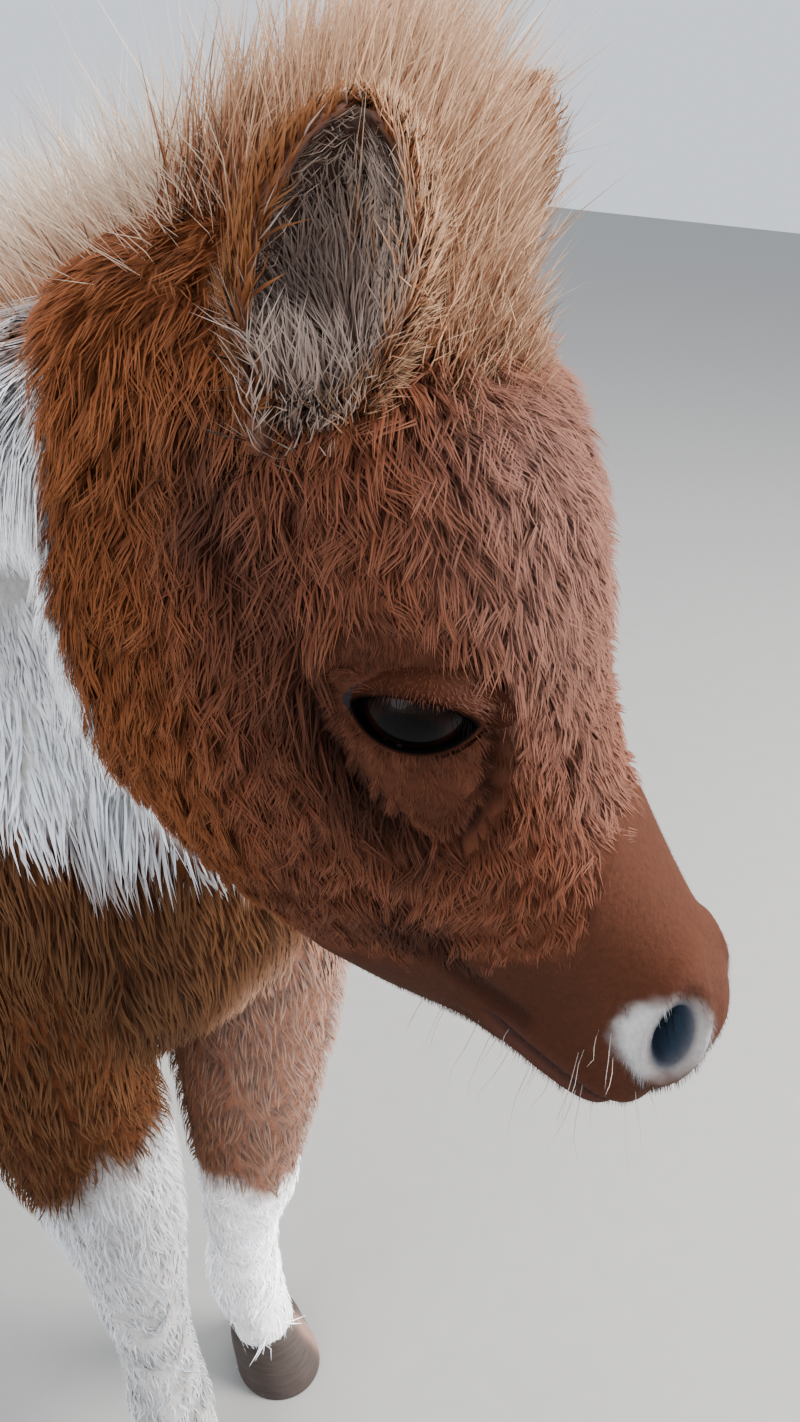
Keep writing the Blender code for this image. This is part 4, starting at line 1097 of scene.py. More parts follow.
# ---------------------------------------------------------------- eyes, ears, hooves, tail
def made_eye(side, word):
    """A ball with a dark, level pupil in a brown iris, and a slight bulge of the cornea."""
    rows, around = 40, 56
    polar = np.linspace(0, math.pi, rows)
    c, s = circle(around)
    points = []
    for angle in polar:
        bulge = 0.0010 * math.exp(-((angle / 0.75) ** 4))
        radius = EYE_RADIUS + bulge - 0.0001
        flat = radius * math.sin(angle)
        points.append(np.stack([flat * c, flat * s, np.full(around, radius * math.cos(angle))], 1))
    points = out_of_head(from_axes(eye_axes(side), np.vstack(points)))
    obj = mesh_piece("eye_ball_" + word, points, tube_faces(rows, around))
    modified(obj, [("WELD", {"merge_threshold": 0.00002})])
    face_outward(obj)
    inner = in_axes(eye_axes(side), in_head(points_of(obj.data)))
    pupil = ramp(1.15 - np.sqrt((inner[:, 0] / 0.0105) ** 2 + (inner[:, 1] / 0.0055) ** 2), 0.0, 0.3)
    rim = ramp(np.sqrt(inner[:, 0] ** 2 + inner[:, 1] ** 2), 0.0125, 0.0165)
    mark(obj, "pupil", pupil * (inner[:, 2] > 0))
    mark(obj, "rim", rim)
    shade_smooth(obj)
    return obj


def made_lids(side, word):
    """The edges of the two lids: a soft rim round the opening, from the skin in to the ball."""
    around, rows = 72, []
    for share, radius in ((1.62, 0.0008), (1.42, 0.0024), (1.24, 0.0034), (1.10, 0.0039),
                          (1.00, 0.0034), (0.95, 0.0020), (0.93, 0.0006), (0.96, -0.0006)):
        points = []
        for i in range(around):
            angle = 2 * math.pi * i / around
            u = math.cos(angle) * share * EYE_LENGTH / 2
            lift = LID_ABOVE if math.sin(angle) > 0 else LID_BELOW
            v = math.copysign(abs(math.sin(angle)) ** 1.25, math.sin(angle)) * EYE_HEIGHT * lift * share
            reach = EYE_RADIUS + radius
            z = math.sqrt(max(reach**2 - u * u - v * v, 0.00002))
            points.append((u, v, z))
        rows.append(out_of_head(from_axes(eye_axes(side), np.array(points))))
    obj = mesh_piece("eye_lids_" + word, np.vstack(rows), tube_faces(len(rows), around, caps=False))
    mark(obj, "edge", np.repeat(ramp(np.arange(len(rows)), 2.4, 3.9), around))
    shade_smooth(obj)
    return obj


def ear_shape(side, around=48):
    """Rings up an ear: full discs in the head, then crescents open to the front and side."""
    up = Vector((-0.80, EAR_LEAN[side], 0.60)).normalized()
    mouth = Vector((-0.20, side * 0.66, 0.74))
    if side > 0:
        mouth = Vector((-0.20, 0.56, 0.80))
    place = aimed(mirrored(EAR_BASE, side), up, mouth)
    half = around // 2
    table = between(
        (
            (-0.022, 0.30, 0.0), (-0.006, 0.36, 0.0), (0.006, 0.43, 0.03), (0.015, 0.48, 0.55),
            (0.028, 0.50, 0.80), (0.042, 0.48, 0.82), (0.055, 0.41, 0.75), (0.066, 0.30, 0.60),
            (0.074, 0.11, 0.35),
        ), 4)
    rings, marks = [], []
    for height, width, hollow in table:
        radius = width * EAR_WIDTH - 0.0015
        bend = 0.10 * EAR_LENGTH * (height / EAR_LENGTH) ** 2
        ring, inner_mark = [], []
        for j in range(half):
            angle = math.radians(-118 + 236 * j / (half - 1))
            ring.append((-math.cos(angle) * radius, math.sin(angle) * radius))
            inner_mark.append(0.0)
        wall = 0.0030 if height > 0.0 else radius
        inner = max(radius - wall, radius * 0.05)
        for j in range(half):
            angle = math.radians(110 - 220 * j / (half - 1))
            y = -math.cos(angle) * inner * hollow + (1 - hollow) * radius * 0.45
            ring.append((y, math.sin(angle) * inner * 0.96))
            inner_mark.append(1.0)
        points = np.array([(height, y + bend, z) for y, z in ring])
        rings.append(out_of_head(from_axes(place, points)))
        marks += inner_mark
    return rings, marks, place


def made_ear(side, word):
    rings, marks, place = ear_shape(side)
    obj = tube("ear_skin_" + word, rings)
    mark(obj, "inner", marks)
    shade_smooth(obj)
    return obj, place


def made_hoof(name):
    """A hoof wall with faint rings, sloping out from the coronet to a flat sole."""
    middle = leg_rings(name, 1.0, 1)[-2].mean(axis=0)
    c, s = circle(48)
    layers = []
    table = between(((0.0, 0.0318, 0.0298, 0.010), (0.0015, 0.0326, 0.0306, 0.0099),
                     (0.010, 0.0308, 0.0296, 0.0065), (0.022, 0.0283, 0.0280, 0.0005),
                     (0.034, 0.0256, 0.0262, -0.0040), (0.038, 0.0240, 0.0246, -0.0055)), 3)
    for height, fore, wide, shift in table:
        tilt = np.clip(height / CORONET, 0, 1.1)
        x = middle[0] + shift + fore * s
        y = middle[1] + wide * c
        z = height + tilt * CORONET_SLOPE * (x - middle[0])
        layers.append(np.stack([x, y, np.maximum(z, 0.0)], 1))
    obj = tube("hoof_wall_" + name, layers)
    points = points_of(obj.data)
    lean = np.arctan2(points[:, 1] - middle[1], points[:, 0] - middle[0] - 0.005)
    from_stripe = lean - (0.95 if "left" in name else -0.7)
    stripe = bell(from_stripe, 0.30) * ripple(points, 0.05, 21) ** 2 + bell(from_stripe, 0.18)
    mark(obj, "stripe", np.clip(stripe, 0, 1) * 0.8)
    shade_smooth(obj)
    return obj


def tail_rings(share, steps=4, around=24):
    rows = between(TAIL, steps)
    c, s = circle(around)
    ahead = np.gradient(rows[:, :2], axis=0)
    rings = []
    for (x, z, radius), (dx, dz) in zip(rows, ahead):
        length = math.hypot(dx, dz)
        dx, dz = dx / length, dz / length
        radius *= share
        rings.append(np.stack([x - dz * radius * s, radius * c, z + dx * radius * s], 1) + HERE)
    return rings


# ---------------------------------------------------------------- the coat's lie
def surface_of(obj, marks):
    mesh = obj.data
    return points_of(mesh), normals_of(mesh), triangles_of(mesh), marks


def coat_depths(points):
    """How deep the coat is at points of the skin, and which way the solids' surface faces over them."""
    outer = flesh(1.0, OUTSIDE_CELL, OUTSIDE_ROUNDS)
    surface = BVHTree.FromObject(outer, bpy.context.evaluated_depsgraph_get())
    outer_points, outer_normals = points_of(outer.data), normals_of(outer.data)
    bpy.data.objects.remove(outer)
    corners = KDTree(len(outer_points))
    for i, p in enumerate(outer_points.tolist()):
        corners.insert(p, i)
    corners.balance()
    nearest = np.array([[hit[1] for hit in corners.find_n(p, 5)] for p in points.tolist()])
    facing = unit(outer_normals[nearest].mean(axis=1))
    found = np.full(len(points), 0.004)
    for i, (p, n) in enumerate(zip(points.tolist(), facing.tolist())):
        hit = surface.ray_cast(Vector(p), Vector(n), 0.03)
        if hit[0] is not None:
            found[i] = hit[3]
    return np.clip(found, COAT_LEAST, COAT_MOST), facing


def regions(points):
    """Masks of head, neck, torso and legs at points of the skin."""
    p = points - HERE
    x, y, z = p.T
    head = in_head(points)
    on_head = (head[:, 0] > -0.06) & (head[:, 2] > head_bottom(head[:, 0]) - 0.006)
    on_head &= (head[:, 0] > 0.0) | (head[:, 2] > -0.105)
    on_head &= x + z > 0.9
    neck = ~on_head & (0.718 * x + 0.696 * z > 0.667)
    legs = ~on_head & ~neck & (z < 0.42) & ((x > 0.16) | (x < -0.12)) & (np.abs(y) > 0.004)
    legs &= (z < 0.40) | (x > 0.16) | (x < -0.14)
    torso = ~on_head & ~neck & ~legs
    return on_head, neck, torso, legs


DOWN = np.array((0.0, 0.0, -1.0))


def head_lie(place):
    """Hair falls down the face, parts from the middle line, and turns round the eyes."""
    head = in_head(place)
    x, y, z = head.T
    side = np.sign(y)
    lie = np.tile(np.array((0.93, 0.0, -0.30)), (len(place), 1))
    top = ramp(z, -0.02, 0.03) * (1 - bell(from_line(one_side(head), FOLD_IN_FRONT), 0.013))
    lie[:, 1] += side * top * 0.55 * ramp(np.abs(y), 0.0, 0.03) * (1 - ramp(x, 0.16, 0.22))
    lie[:, 1] += 0.35 * ripple(place, 0.030, 12) * (1 - ramp(x, 0.2, 0.24))
    lie[:, 2] += 0.25 * ripple(place, 0.026, 13) * (1 - ramp(x, 0.2, 0.24))
    fold = np.stack([np.ones_like(y), side, np.ones_like(y)], 1)
    eye = in_axes(eye_axes(1), head * fold)
    away = orbit(head) * np.exp(-((eye[:, 0] / 0.034) ** 2) - (eye[:, 1] / 0.026) ** 2)
    out_of_eye = np.stack([eye[:, 0] * 0.6, eye[:, 1], np.zeros(len(eye))], 1)
    turn = np.array(eye_axes(1))[:3, :3]
    spread = unit(out_of_eye) @ turn.T * fold
    below = eye[:, 1] < 0.012
    lie += spread * (2.0 * away * below)[:, None]
    return turned_from_head(lie)


def body_lie(place):
    """Down on the neck, chest and legs, back and down along the barrel and rump."""
    x, _, z = (place - HERE).T
    back = ramp(0.26 - x, 0.0, 0.12) * ramp(z, 0.38, 0.46)
    lie = np.stack([0.28 - 1.15 * back, 0.10 * ripple(place, 0.06, 14), -1.0 + 0.25 * back], 1)
    lie[:, 0] += 0.16 * ripple(place, 0.05, 15)
    return unit(lie)


# ---------------------------------------------------------------- building the foal
def stored(obj, name):
    values = np.empty(len(obj.data.vertices), np.float32)
    obj.data.attributes[name].data.foreach_get("value", values)
    return values.astype(float)


def tuft_marks(place, nearest, chance, crest=None):
    """What a tuft's colour is made from: its own tint, its lock's, the painted light and shade of its wave,
    the shade and dirt, and the marking.
    """
    count = len(place)
    lock = chance.normal(0, 1, count)[nearest]
    tint = 0.5 + 0.13 * lock + 0.11 * chance.normal(0, 1, count) + 0.12 * ripple(place, 0.045, 9)
    return {
        "tint": np.clip(tint, 0, 1),
        "crest": np.full(count, 0.5) if crest is None else crest,
        "shade": shade_and_dirt_at(place),
        "white": np.clip(white_with_painted_light(place[nearest] * 0.6 + place * 0.4), 0, 1),
        "warm": warmth(place),
    }


skin = made_skin()
skin_points = points_of(skin.data)
depths, facing = coat_depths(skin_points)
bare_marks, deep_marks = stored(skin, "bare"), stored(skin, "deep")
surface = (skin_points, facing, triangles_of(skin.data), {"depth": depths})
on_head, on_neck, on_torso, on_legs = regions(skin_points)
head_places = in_head(skin_points)
mark(skin, "shade", shade_and_dirt_at(skin_points))
mark(skin, "warm", warmth(skin_points))
finish(skin, skin_material(),
       ("torso", "neck", "head", "leg_front_left", "leg_front_right", "leg_hind_left", "leg_hind_right"))

brown_coat = hair_material("chestnut_coat", (68, 36, 23), (89, 50, 34), (116, 73, 55))
body_coat = hair_material("body_coat", (56, 34, 23), (80, 52, 38), (104, 74, 58),
                          (244, 247, 252), (228, 230, 234))
neck_coat = hair_material("neck_coat", (76, 42, 27), (106, 65, 44), (138, 94, 70))
nose_coat = hair_material("nose_coat", (62, 37, 25), (82, 51, 37), (102, 68, 52),
                          (206, 210, 216), (186, 186, 192))
mane_hair = hair_material("mane_hair", (118, 70, 46), (194, 146, 115), (246, 228, 208),
                          (246, 244, 240), (228, 222, 216))
forelock_hair = hair_material("forelock_hair", (108, 60, 38), (178, 122, 90), (228, 190, 158))
ear_hair = hair_material("ear_fluff", (96, 76, 66), (132, 112, 101), (164, 146, 134))

chance = np.random.default_rng(SEED)
open_skin = (1 - np.clip(bare_marks * 1.5, 0, 1)) * (deep_marks < 0.15)
flat_nose = smooth_nose(head_places)
eye_ring = orbit(head_places)
right, behind = head_places[:, 1] < 0, skin_points[:, 0] - HERE[0] <= 0.12
folded_places = one_side(head_places)
parted = 1 - 0.95 * bell(from_line(folded_places, FOLD_IN_FRONT), 0.0045)
parted *= 1 - 0.8 * bell(from_line(folded_places, HOLLOW_BELOW), 0.0065)
fluffy = on_head * (1 - flat_nose) * (1 - eye_ring) * parted
round_eyes = on_head * ramp(eye_ring, 0.35, 0.75)
above = ramp(head_places[:, 2], -0.010, 0.004)
lower_face = fluffy * (1 - above)
front_torso, rear_torso = on_torso * ~behind, on_torso * behind
# Each piece of coat: where, how many tufts, rings, length over depth, extra length, width, stray, pull
# of its lock, and finish.
COAT = (
    ("coat_forehead", fluffy * above, 12500, 2, 1.1, 0.0060, 0.00085, 0.10, 0.84, brown_coat),
    ("coat_forehead_fine", fluffy * above, 16000, 1, 0.9, 0.0050, 0.00055, 0.14, 0.60, brown_coat),
    ("coat_cheek_right", lower_face * right, 12000, 2, 1.3, 0.0075, 0.00085, 0.10, 0.84, brown_coat),
    ("coat_cheek_right_fine", lower_face * right, 15000, 1, 1.0, 0.0060, 0.00055, 0.14, 0.60, brown_coat),
    ("coat_cheek_left", lower_face * ~right, 6800, 2, 1.3, 0.0075, 0.00115, 0.12, 0.80, brown_coat),
    ("coat_cheek_left_fine", lower_face * ~right, 7000, 1, 1.0, 0.0060, 0.00080, 0.20, 0.45, brown_coat),
    ("coat_round_eyes", round_eyes, 10500, 1, 0.8, 0.0034, 0.00055, 0.20, 0.50, brown_coat),
    ("coat_nose", on_head * flat_nose, 18500, 1, 0.8, 0.0018, 0.00042, 0.12, 0.30, nose_coat),
    ("coat_neck", on_neck * 1.0, 8900, 2, 1.4, 0.0090, 0.00130, 0.12, 0.70, neck_coat),
    ("coat_neck_fine", on_neck * 1.0, 8000, 1, 1.1, 0.0070, 0.00085, 0.20, 0.45, neck_coat),
    ("coat_chest", front_torso, 8900, 2, 1.4, 0.0090, 0.00150, 0.12, 0.70, body_coat),
    ("coat_chest_fine", front_torso, 8500, 1, 1.1, 0.0070, 0.00100, 0.20, 0.45, body_coat),
    ("coat_back", rear_torso, 9000, 2, 1.5, 0.0110, 0.00280, 0.16, 0.70, body_coat),
    ("coat_back_fine", rear_torso, 4500, 1, 1.2, 0.0080, 0.00180, 0.20, 0.45, body_coat),
    ("coat_legs_front", on_legs * ~behind, 8200, 2, 1.0, 0.0060, 0.00110, 0.24, 0.65, body_coat),
    ("coat_legs_front_fine", on_legs * ~behind, 6500, 1, 0.8, 0.0045, 0.00080, 0.26, 0.40, body_coat),
    ("coat_legs_hind", on_legs * behind, 5600, 2, 1.0, 0.0060, 0.00190, 0.24, 0.65, body_coat),
)
for name, where, count, rings, stretch, extra, width, stray, pull, material in COAT:
    face, leg = not any(word in name for word in ("neck", "chest", "back", "legs")), "legs" in name
    place, normal, marks = sampled(surface, where * open_skin, count, chance)
    if name in ("coat_round_eyes", "coat_nose"):
        marks["depth"] = np.clip(marks["depth"], 0.0026, 0.0034)
    if not face:
        marks["depth"] = np.maximum(marks["depth"], 0.0045)
    depth = marks["depth"] * chance.uniform(0.55, 0.95, count)
    length = (marks["depth"] * stretch + extra) * chance.uniform(0.75, 1.2, count)
    lie, crest = (head_lie(place) if face else body_lie(place)), None
    # Below, crest paints light on the tops of the waves and shade in their troughs.
    if face:
        phase = wave_phase(place)
        behind_nose = 1 - smooth_nose(in_head(place))
        swell = np.sin(phase) * behind_nose
        depth = depth * (1 + 0.30 * swell)
        lie = lie + WAVE_SWING * (np.cos(phase) * behind_nose)[:, None] * np.cross(normal, lie)
        crest = 0.5 + 0.5 * swell
    elif leg:
        phase = 2 * math.pi * (place[:, 2] / 0.020 + 0.8 * ripple(place, 0.030, 18))
        low = ramp(0.30 - place[:, 2], 0.0, 0.05)
        lie = lie + (0.6 * np.cos(phase) * low)[:, None] * np.cross(normal, lie)
        crest = 0.5 + 0.45 * np.sin(phase) * low
        length = length * (1 + 1.4 * ramp(0.075 - place[:, 2], 0.0, 0.03))
        depth = depth * (1 + 0.55 * ramp(place[:, 2], 0.25, 0.30))
    elif "neck" in name:
        high = ramp(place[:, 2] - crest_height(place[:, 0] - HERE[0]), -0.055, -0.010)
        length, depth = length * (1 + 0.8 * high), depth * (1 + 0.5 * high)
    lines = tuft_lines(place, normal, lie, length, depth, rings, chance, stray, 0.12, 0.0 if face else 0.15)
    lines, nearest = drawn_together(lines, 9, pull, chance)
    lines[:, :, 2] = np.maximum(lines[:, :, 2], 0.004)
    chart = head_chart if face else leg_chart if leg else body_chart
    piece = hairs(name, lines, normal, width * chance.uniform(0.65, 1.25, count), chart,
                  tuft_marks(place, nearest, chance, crest))
    finish(piece, material)


def long_lines(place, grow, bend, length, rings, chance, curl, wave=0.0016):
    """Middle lines of long hair that grows one way and bends another."""
    count = len(place)
    side = unit(np.cross(grow, chance.normal(0, 1, (count, 3))))
    sway = chance.normal(0, curl, (count, 3))
    phase = chance.uniform(0, 2 * math.pi, count)
    lines = np.empty((count, rings + 1, 3))
    for i, s in enumerate(np.linspace(0, 1, rings + 1)):
        lines[:, i] = place + grow * (length * s)[:, None] + (bend + sway) * (length * s * s)[:, None]
        lines[:, i] += side * (wave * np.sin(phase + 7.0 * s) * s)[:, None]
    return lines


def long_hair(name, place, grow, bend, length, width, curl, every, pull, chart, material, facing, white,
              shade=0.0):
    """A piece of long hair in locks, with its own share of white and of shade."""
    lines = long_lines(place, grow, bend, length, 3, chance, curl)
    lines, nearest = drawn_together(lines, every, pull, chance)
    lines[:, :, 2] -= HAIR_LAID * np.maximum(lines[:, :, 2] - HAIR_TOP, 0)
    marks = tuft_marks(place, nearest, chance)
    marks["white"], marks["shade"] = white, shade + np.zeros(len(place))
    marks["warm"] = np.full(len(place), 0.1)
    piece = hairs(name, lines, facing, width, chart, marks, 0.6, 0.5, (0.9, 1.0, 0.6))
    finish(piece, material)


# The mane stands up along the crest of the neck.
count = 7600
rows = between(NECK, 12)
rows = rows[rows[:, 0] > 0.170]
row = rows[np.minimum((chance.uniform(0, 1, count) ** 0.8 * len(rows)).astype(int), len(rows) - 1)]
up = unit(row[:, 0:3] - row[:, 3:6])
y = np.clip(chance.normal(0, 0.014, count), -0.034, 0.034)
drop = (row[:, 6] - np.sqrt(row[:, 6] ** 2 - y**2)) * 1.5
place = row[:, 0:3] - up * (drop - 0.002)[:, None] + HERE
place[:, 1] += y
place[:, 0] += chance.uniform(-0.006, 0.006, count)
grow = up + np.stack([chance.uniform(-0.30, 0.06, count), y * 20 + chance.normal(0, 0.12, count),
                      np.zeros(count)], 1)
bend = np.stack([chance.normal(-0.10, 0.10, count), np.sign(y) * chance.uniform(0.0, 0.25, count),
                 np.full(count, -0.10)], 1)
length = (0.052 + 0.030 * ramp(place[:, 0] - HERE[0], 0.15, 0.26)) * chance.uniform(0.55, 1.12, count)
pale = 1 - ramp(place[:, 0] - HERE[0] + 0.01 * ripple(place, 0.03, 17), 0.235, 0.300)
outward = np.where(y > 0.004, -1.0, 1.0)
facing = unit(np.stack([chance.normal(0.4, 0.5, count), outward * chance.normal(-0.6, 0.6, count),
                        chance.normal(0.4, 0.2, count)], 1))
long_hair("mane", place, unit(grow), bend, length, chance.uniform(0.0003, 0.0007, count), 0.16, 14, 0.45,
          body_chart, mane_hair, facing, pale)

# The forelock stands up between the ears, and fans out over the poll.
count = 7600
x = -0.054 + 0.110 * chance.beta(1.5, 2.2, count)
y = np.clip(chance.normal(0, 0.018, count), -0.034, 0.034)
table = np.array(HEAD)
top = np.interp(x, table[:, 0], table[:, 1] + 0.5 * table[:, 5])
place = out_of_head(np.stack([x, y, top - 0.35 * np.abs(y) - 0.004], 1))
grow = turned_from_head(np.stack([chance.normal(-0.80, 0.12, count),
                                  np.clip(9 * y, -0.2, 0.2) + chance.normal(0, 0.12, count),
                                  chance.normal(0.62, 0.12, count)], 1))
bend = turned_from_head(np.stack([chance.uniform(-0.1, 0.3, count), chance.normal(0, 0.4, count),
                                  chance.uniform(0, 0.4, count)], 1)) * 0.2
length = (0.078 - 0.062 * ramp(x, -0.020, 0.054)) * (0.6 + 0.4 * ramp(x, -0.054, -0.030))
length *= chance.uniform(0.5, 1.1, count)
facing = unit(turned_from_head(np.stack([chance.normal(-0.2, 0.4, count), chance.normal(-0.6, 0.6, count),
                                         chance.normal(0.6, 0.3, count)], 1)))
long_hair("forelock", place, grow, bend, length, chance.uniform(0.0003, 0.0007, count), 0.16, 14, 0.45,
          head_chart, forelock_hair, facing, np.zeros(count), 0.35 * ramp(x, -0.005, 0.045))

for side, word in ((1, "left"), (-1, "right")):
    finish(made_eye(side, word), eye_material(), ("eye_" + word,))
    lids = made_lids(side, word)
    finish(lids, lid_material())
    lid_surface = surface_of(lids, {"edge": stored(lids, "edge")})
    count = 1500
    off_edge = 1 - np.clip(lid_surface[3]["edge"] * 2.0, 0, 1)
    place, normal, _ = sampled(lid_surface, off_edge, count, chance)
    normal = normal * np.sign((normal * np.array((0.0, side, 0.2))).sum(axis=1))[:, None]
    lines = tuft_lines(place, normal, head_lie(place), chance.uniform(0.003, 0.005, count),
                       chance.uniform(0.0012, 0.0030, count), 1, chance, 0.2, 0.1)
    piece = hairs("lid_hair_" + word, lines, normal, chance.uniform(0.0003, 0.0006, count), head_chart,
                  tuft_marks(place, np.arange(count), chance))
    finish(piece, brown_coat)
    ear, axes = made_ear(side, word)
    finish(ear, ear_skin_material(), ("ear_" + word,))
    inner = stored(ear, "inner")
    shell = surface_of(ear, {"inner": inner})
    spine = FROM_HEAD[:3, :3] @ np.array(axes)[:3, :3]
    up_ear, mouth_ear, side_ear = unit(spine[:, 0]), unit(spine[:, 1]), unit(spine[:, 2])
    base = out_of_head(np.array([EAR_BASE[0], side * EAR_BASE[1], EAR_BASE[2]]))
    above = (shell[0] - base) @ up_ear
    beside = (shell[0] - base) @ side_ear
    hollow = ramp(0.55 * above - 0.016 - beside, -0.006, 0.008)
    fluff = (inner > 0.5) * ramp(above, -0.030, -0.010) * (1 - 0.9 * hollow)
    for kind, weights, count, long, lift, wide, material in (
        ("back", (inner < 0.5) * (above > -0.020) * (beside < 0.012), 1700, 0.016, 0.0070, 0.0009, neck_coat),
        ("rim", (inner < 0.5) * (above > -0.010) * (beside > 0.004), 1600, 0.022, 0.0100, 0.0006,
         forelock_hair),
        ("hollow", (inner > 0.5) * hollow, 700, 0.007, 0.0025, 0.0010, brown_coat),
        ("fluff", fluff, 2000, 0.020, 0.0120, 0.0006, ear_hair),
    ):
        place, normal, _ = sampled(shell, weights, count, chance)
        height = (place - base) @ up_ear
        lie = np.tile(up_ear, (count, 1)) + (0.5 * mouth_ear - 0.35 * side_ear) * (kind == "fluff")
        lie = lie + (0.7 * mouth_ear - 0.4 * side_ear) * (kind == "rim")
        length = long * chance.uniform(0.6, 1.2, count) * (1 - 0.5 * ramp(height, 0.03, 0.075))
        depth = chance.uniform(0.2, 0.9, count) * lift
        lines = tuft_lines(place, normal, lie, length, depth, 2, chance, 0.25, 0.2)
        lines, nearest = drawn_together(lines, 8, 0.5, chance)
        marks = tuft_marks(place, nearest, chance)
        # Painted shade on the ear's hollow, a little on its back and rim, and toward every base but the
        # fluff's; painted light on the fluff.
        marks["shade"] = np.full(count, {"back": 0.1, "rim": 0.15, "hollow": 0.45, "fluff": -0.45}[kind])
        marks["shade"] += 0.40 * ramp(0.022 - height, 0.0, 0.02) * (kind != "fluff")
        marks["warm"] = np.full(count, {"back": 0.8, "rim": 0.1, "hollow": 0.3, "fluff": 0.0}[kind])
        marks["white"] = np.zeros(count)
        piece = hairs("ear_" + kind + "_" + word, lines, normal, wide * chance.uniform(0.6, 1.2, count),
                      ear_chart, marks)
        finish(piece, material)

for name in LEGS:
    finish(made_hoof(name), hoof_material(), ("hoof_" + name,))

tail_core = tube("tail_core", tail_rings(0.5))
shade_smooth(tail_core)
finish(tail_core, plain_material("tail_root", (92, 56, 38), (120, 76, 52), 0.7), ("tail",))
core = surface_of(tail_core, {})
count = 2900
place, normal, _ = sampled(core, np.ones(len(core[0])), count, chance)
grow = unit(normal * 0.30 + DOWN * chance.uniform(0.7, 1.0, count)[:, None])
bend = normal * -0.10 + DOWN * 0.30
length = chance.uniform(0.08, 0.14, count) * np.clip((place[:, 2] - 0.27) / 0.10, 0.4, 1.0)
pale = 0.5 * ramp(0.45 - place[:, 2], 0.0, 0.15)
long_hair("tail_hair", place, grow, bend, length, chance.uniform(0.0009, 0.0018, count), 0.08, 12, 0.6,
          tail_chart, mane_hair, normal, pale)


def lashes(side):
    """A row of short lashes along the edge of the upper lid, pointing out and down."""
    number = 38
    angle = np.linspace(0.10, 0.88, number) * math.pi + chance.normal(0, 0.02, number)
    u = np.cos(angle) * 0.97 * EYE_LENGTH / 2
    v = np.sin(angle) ** 1.25 * EYE_HEIGHT * LID_ABOVE * 0.97
    z = np.sqrt((EYE_RADIUS + 0.003) ** 2 - u**2 - v**2)
    place = out_of_head(from_axes(eye_axes(side), np.stack([u, v, z], 1)))
    spine = FROM_HEAD[:3, :3] @ np.array(eye_axes(side))[:3, :3]
    out = np.stack([u * 12 + chance.normal(0, 0.15, number), np.full(number, 0.10), np.full(number, 1.0)], 1)
    bend = np.stack([np.zeros(number), np.full(number, -0.55), np.full(number, -0.2)], 1)
    return place, unit(out @ spine.T), unit(bend @ spine.T) * 0.6


for side, word in ((1, "left"), (-1, "right")):
    place, grow, bend = lashes(side)
    lines = long_lines(place, grow, bend, chance.uniform(0.006, 0.010, len(place)), 3, chance, 0.06, 0.0002)
    piece = hairs("lashes_" + word, lines, grow, np.full(len(place), LASH_WIDTH), head_chart, {}, 0.8, 0.0)
    lash_hair = plain_material("lash_hair", (6, 5, 5), (14, 10, 9), 0.8, Specular_IOR_Level=0.05)
    finish(piece, lash_hair)

number = 60
whisker_skin = on_head * (head_places[:, 0] > 0.272) * (head_places[:, 2] < 0.012) * (deep_marks < 0.1)
place, normal, _ = sampled(surface, whisker_skin * 1.0, number, chance)
bend = DOWN * 0.35 + np.zeros_like(place)
lines = long_lines(place, normal, bend, chance.uniform(0.012, 0.030, number), 4, chance, 0.12)
piece = hairs("whiskers", lines, normal, np.full(number, WHISKER_WIDTH), head_chart, {}, 0.8, 0.0)
finish(piece, plain_material("whisker_hair", (150, 134, 120), (206, 196, 184), 0.5))

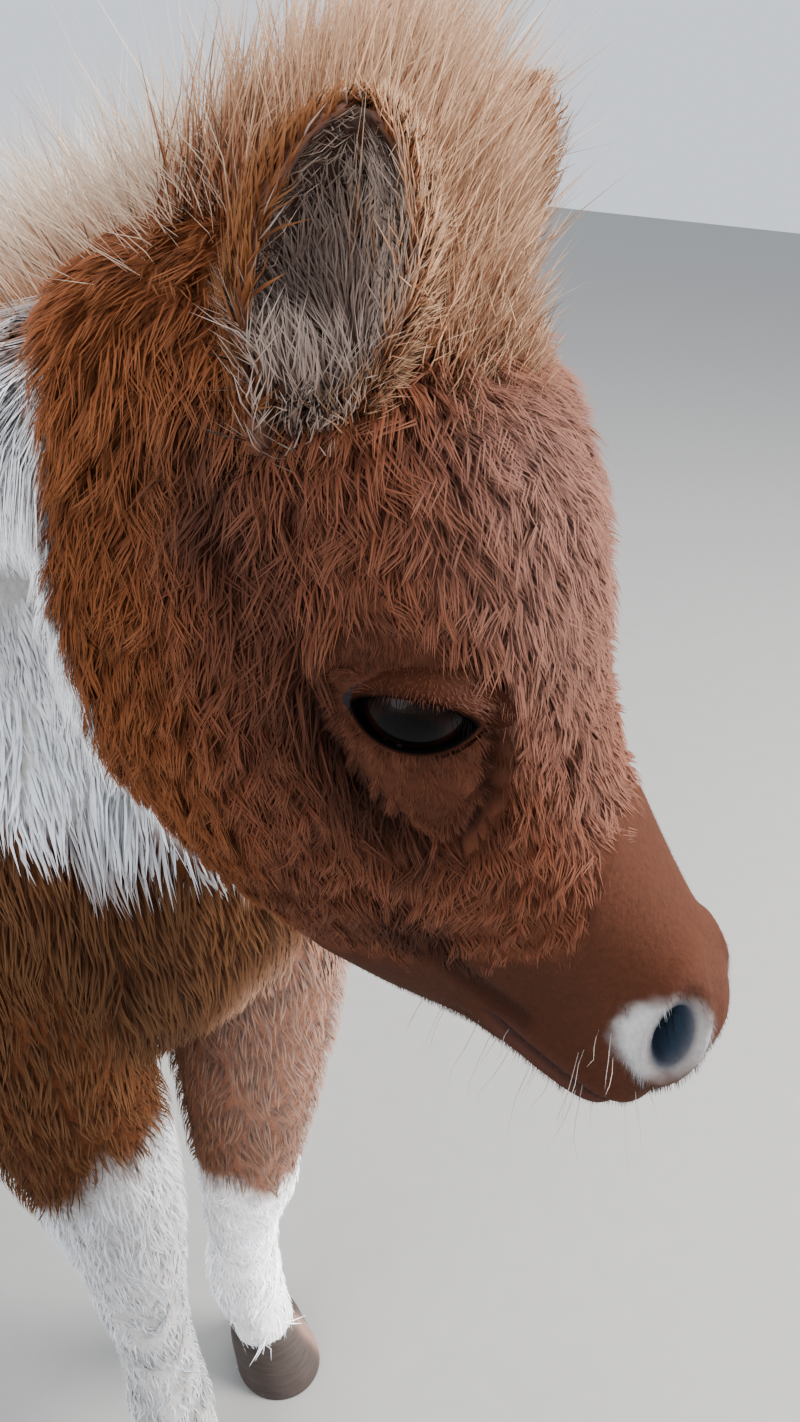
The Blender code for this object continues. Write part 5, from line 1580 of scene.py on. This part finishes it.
# ---------------------------------------------------------------- floor, light and camera
bpy.ops.mesh.primitive_plane_add(size=12.0)
floor = bpy.context.active_object
floor.name = "floor"
floor_material, floor_tree, floor_shader = new_material("pale_floor", 0.85)
floor_noise = bumped(floor_tree, floor_shader, 40.0, 0.05)
floor_colour = mixed(floor_tree, floor_noise.outputs["Fac"], linear(150, 149, 146), linear(158, 156, 153))
floor_tree.links.new(floor_colour, floor_shader.inputs["Base Color"])
floor.data.materials.append(floor_material)

world = bpy.data.worlds.new("studio")
world.use_nodes = True
world.node_tree.nodes["Background"].inputs["Color"].default_value = (0.84, 0.90, 1.0, 1.0)
world.node_tree.nodes["Background"].inputs["Strength"].default_value = 1.15
bpy.context.scene.world = world


def area_light(name, place, target, size, power, colour):
    light = bpy.data.lights.new(name, "AREA")
    light.shape, light.size, light.energy, light.color = "DISK", size, power, colour
    obj = bpy.data.objects.new(name, light)
    bpy.context.scene.collection.objects.link(obj)
    obj.location = place
    obj.rotation_euler = (Vector(target) - Vector(place)).to_track_quat("-Z", "Y").to_euler()


area_light("key_light", (1.7, 1.6, 2.1), (0.4, 0.0, 0.6), 1.3, 150.0, (1.0, 0.97, 0.94))
area_light("sky_light", (-0.2, 0.6, 2.6), (0.3, 0.0, 0.6), 2.2, 45.0, (1.0, 0.98, 0.96))
area_light("side_light", (0.6, -2.6, 1.6), (0.2, 0.0, 0.55), 2.0, 60.0, (0.95, 0.97, 1.0))
area_light("low_light", (1.5, 1.3, 0.7), (0.28, 0.03, 0.35), 0.8, 26.0, (1.0, 0.97, 0.95))

CAMERA_PLACE = Vector((0.717, -0.247, 0.873))
CAMERA_DIP = 30.0
PHOTO_FOCUS, PHOTO_HEIGHT, SENSOR = 1150.0, 1422.0, 36.0
camera_data = bpy.data.cameras.new("camera")
camera_data.sensor_width = SENSOR
camera_data.lens = SENSOR * PHOTO_FOCUS / PHOTO_HEIGHT
camera_data.clip_start = 0.01
camera = bpy.data.objects.new("camera", camera_data)
bpy.context.scene.collection.objects.link(camera)
camera.location = CAMERA_PLACE + HOME
dip = math.radians(CAMERA_DIP)
look = Vector((-0.7071 * math.cos(dip), 0.7071 * math.cos(dip), -math.sin(dip)))
camera.rotation_euler = look.to_track_quat("-Z", "Y").to_euler()
bpy.context.scene.camera = camera
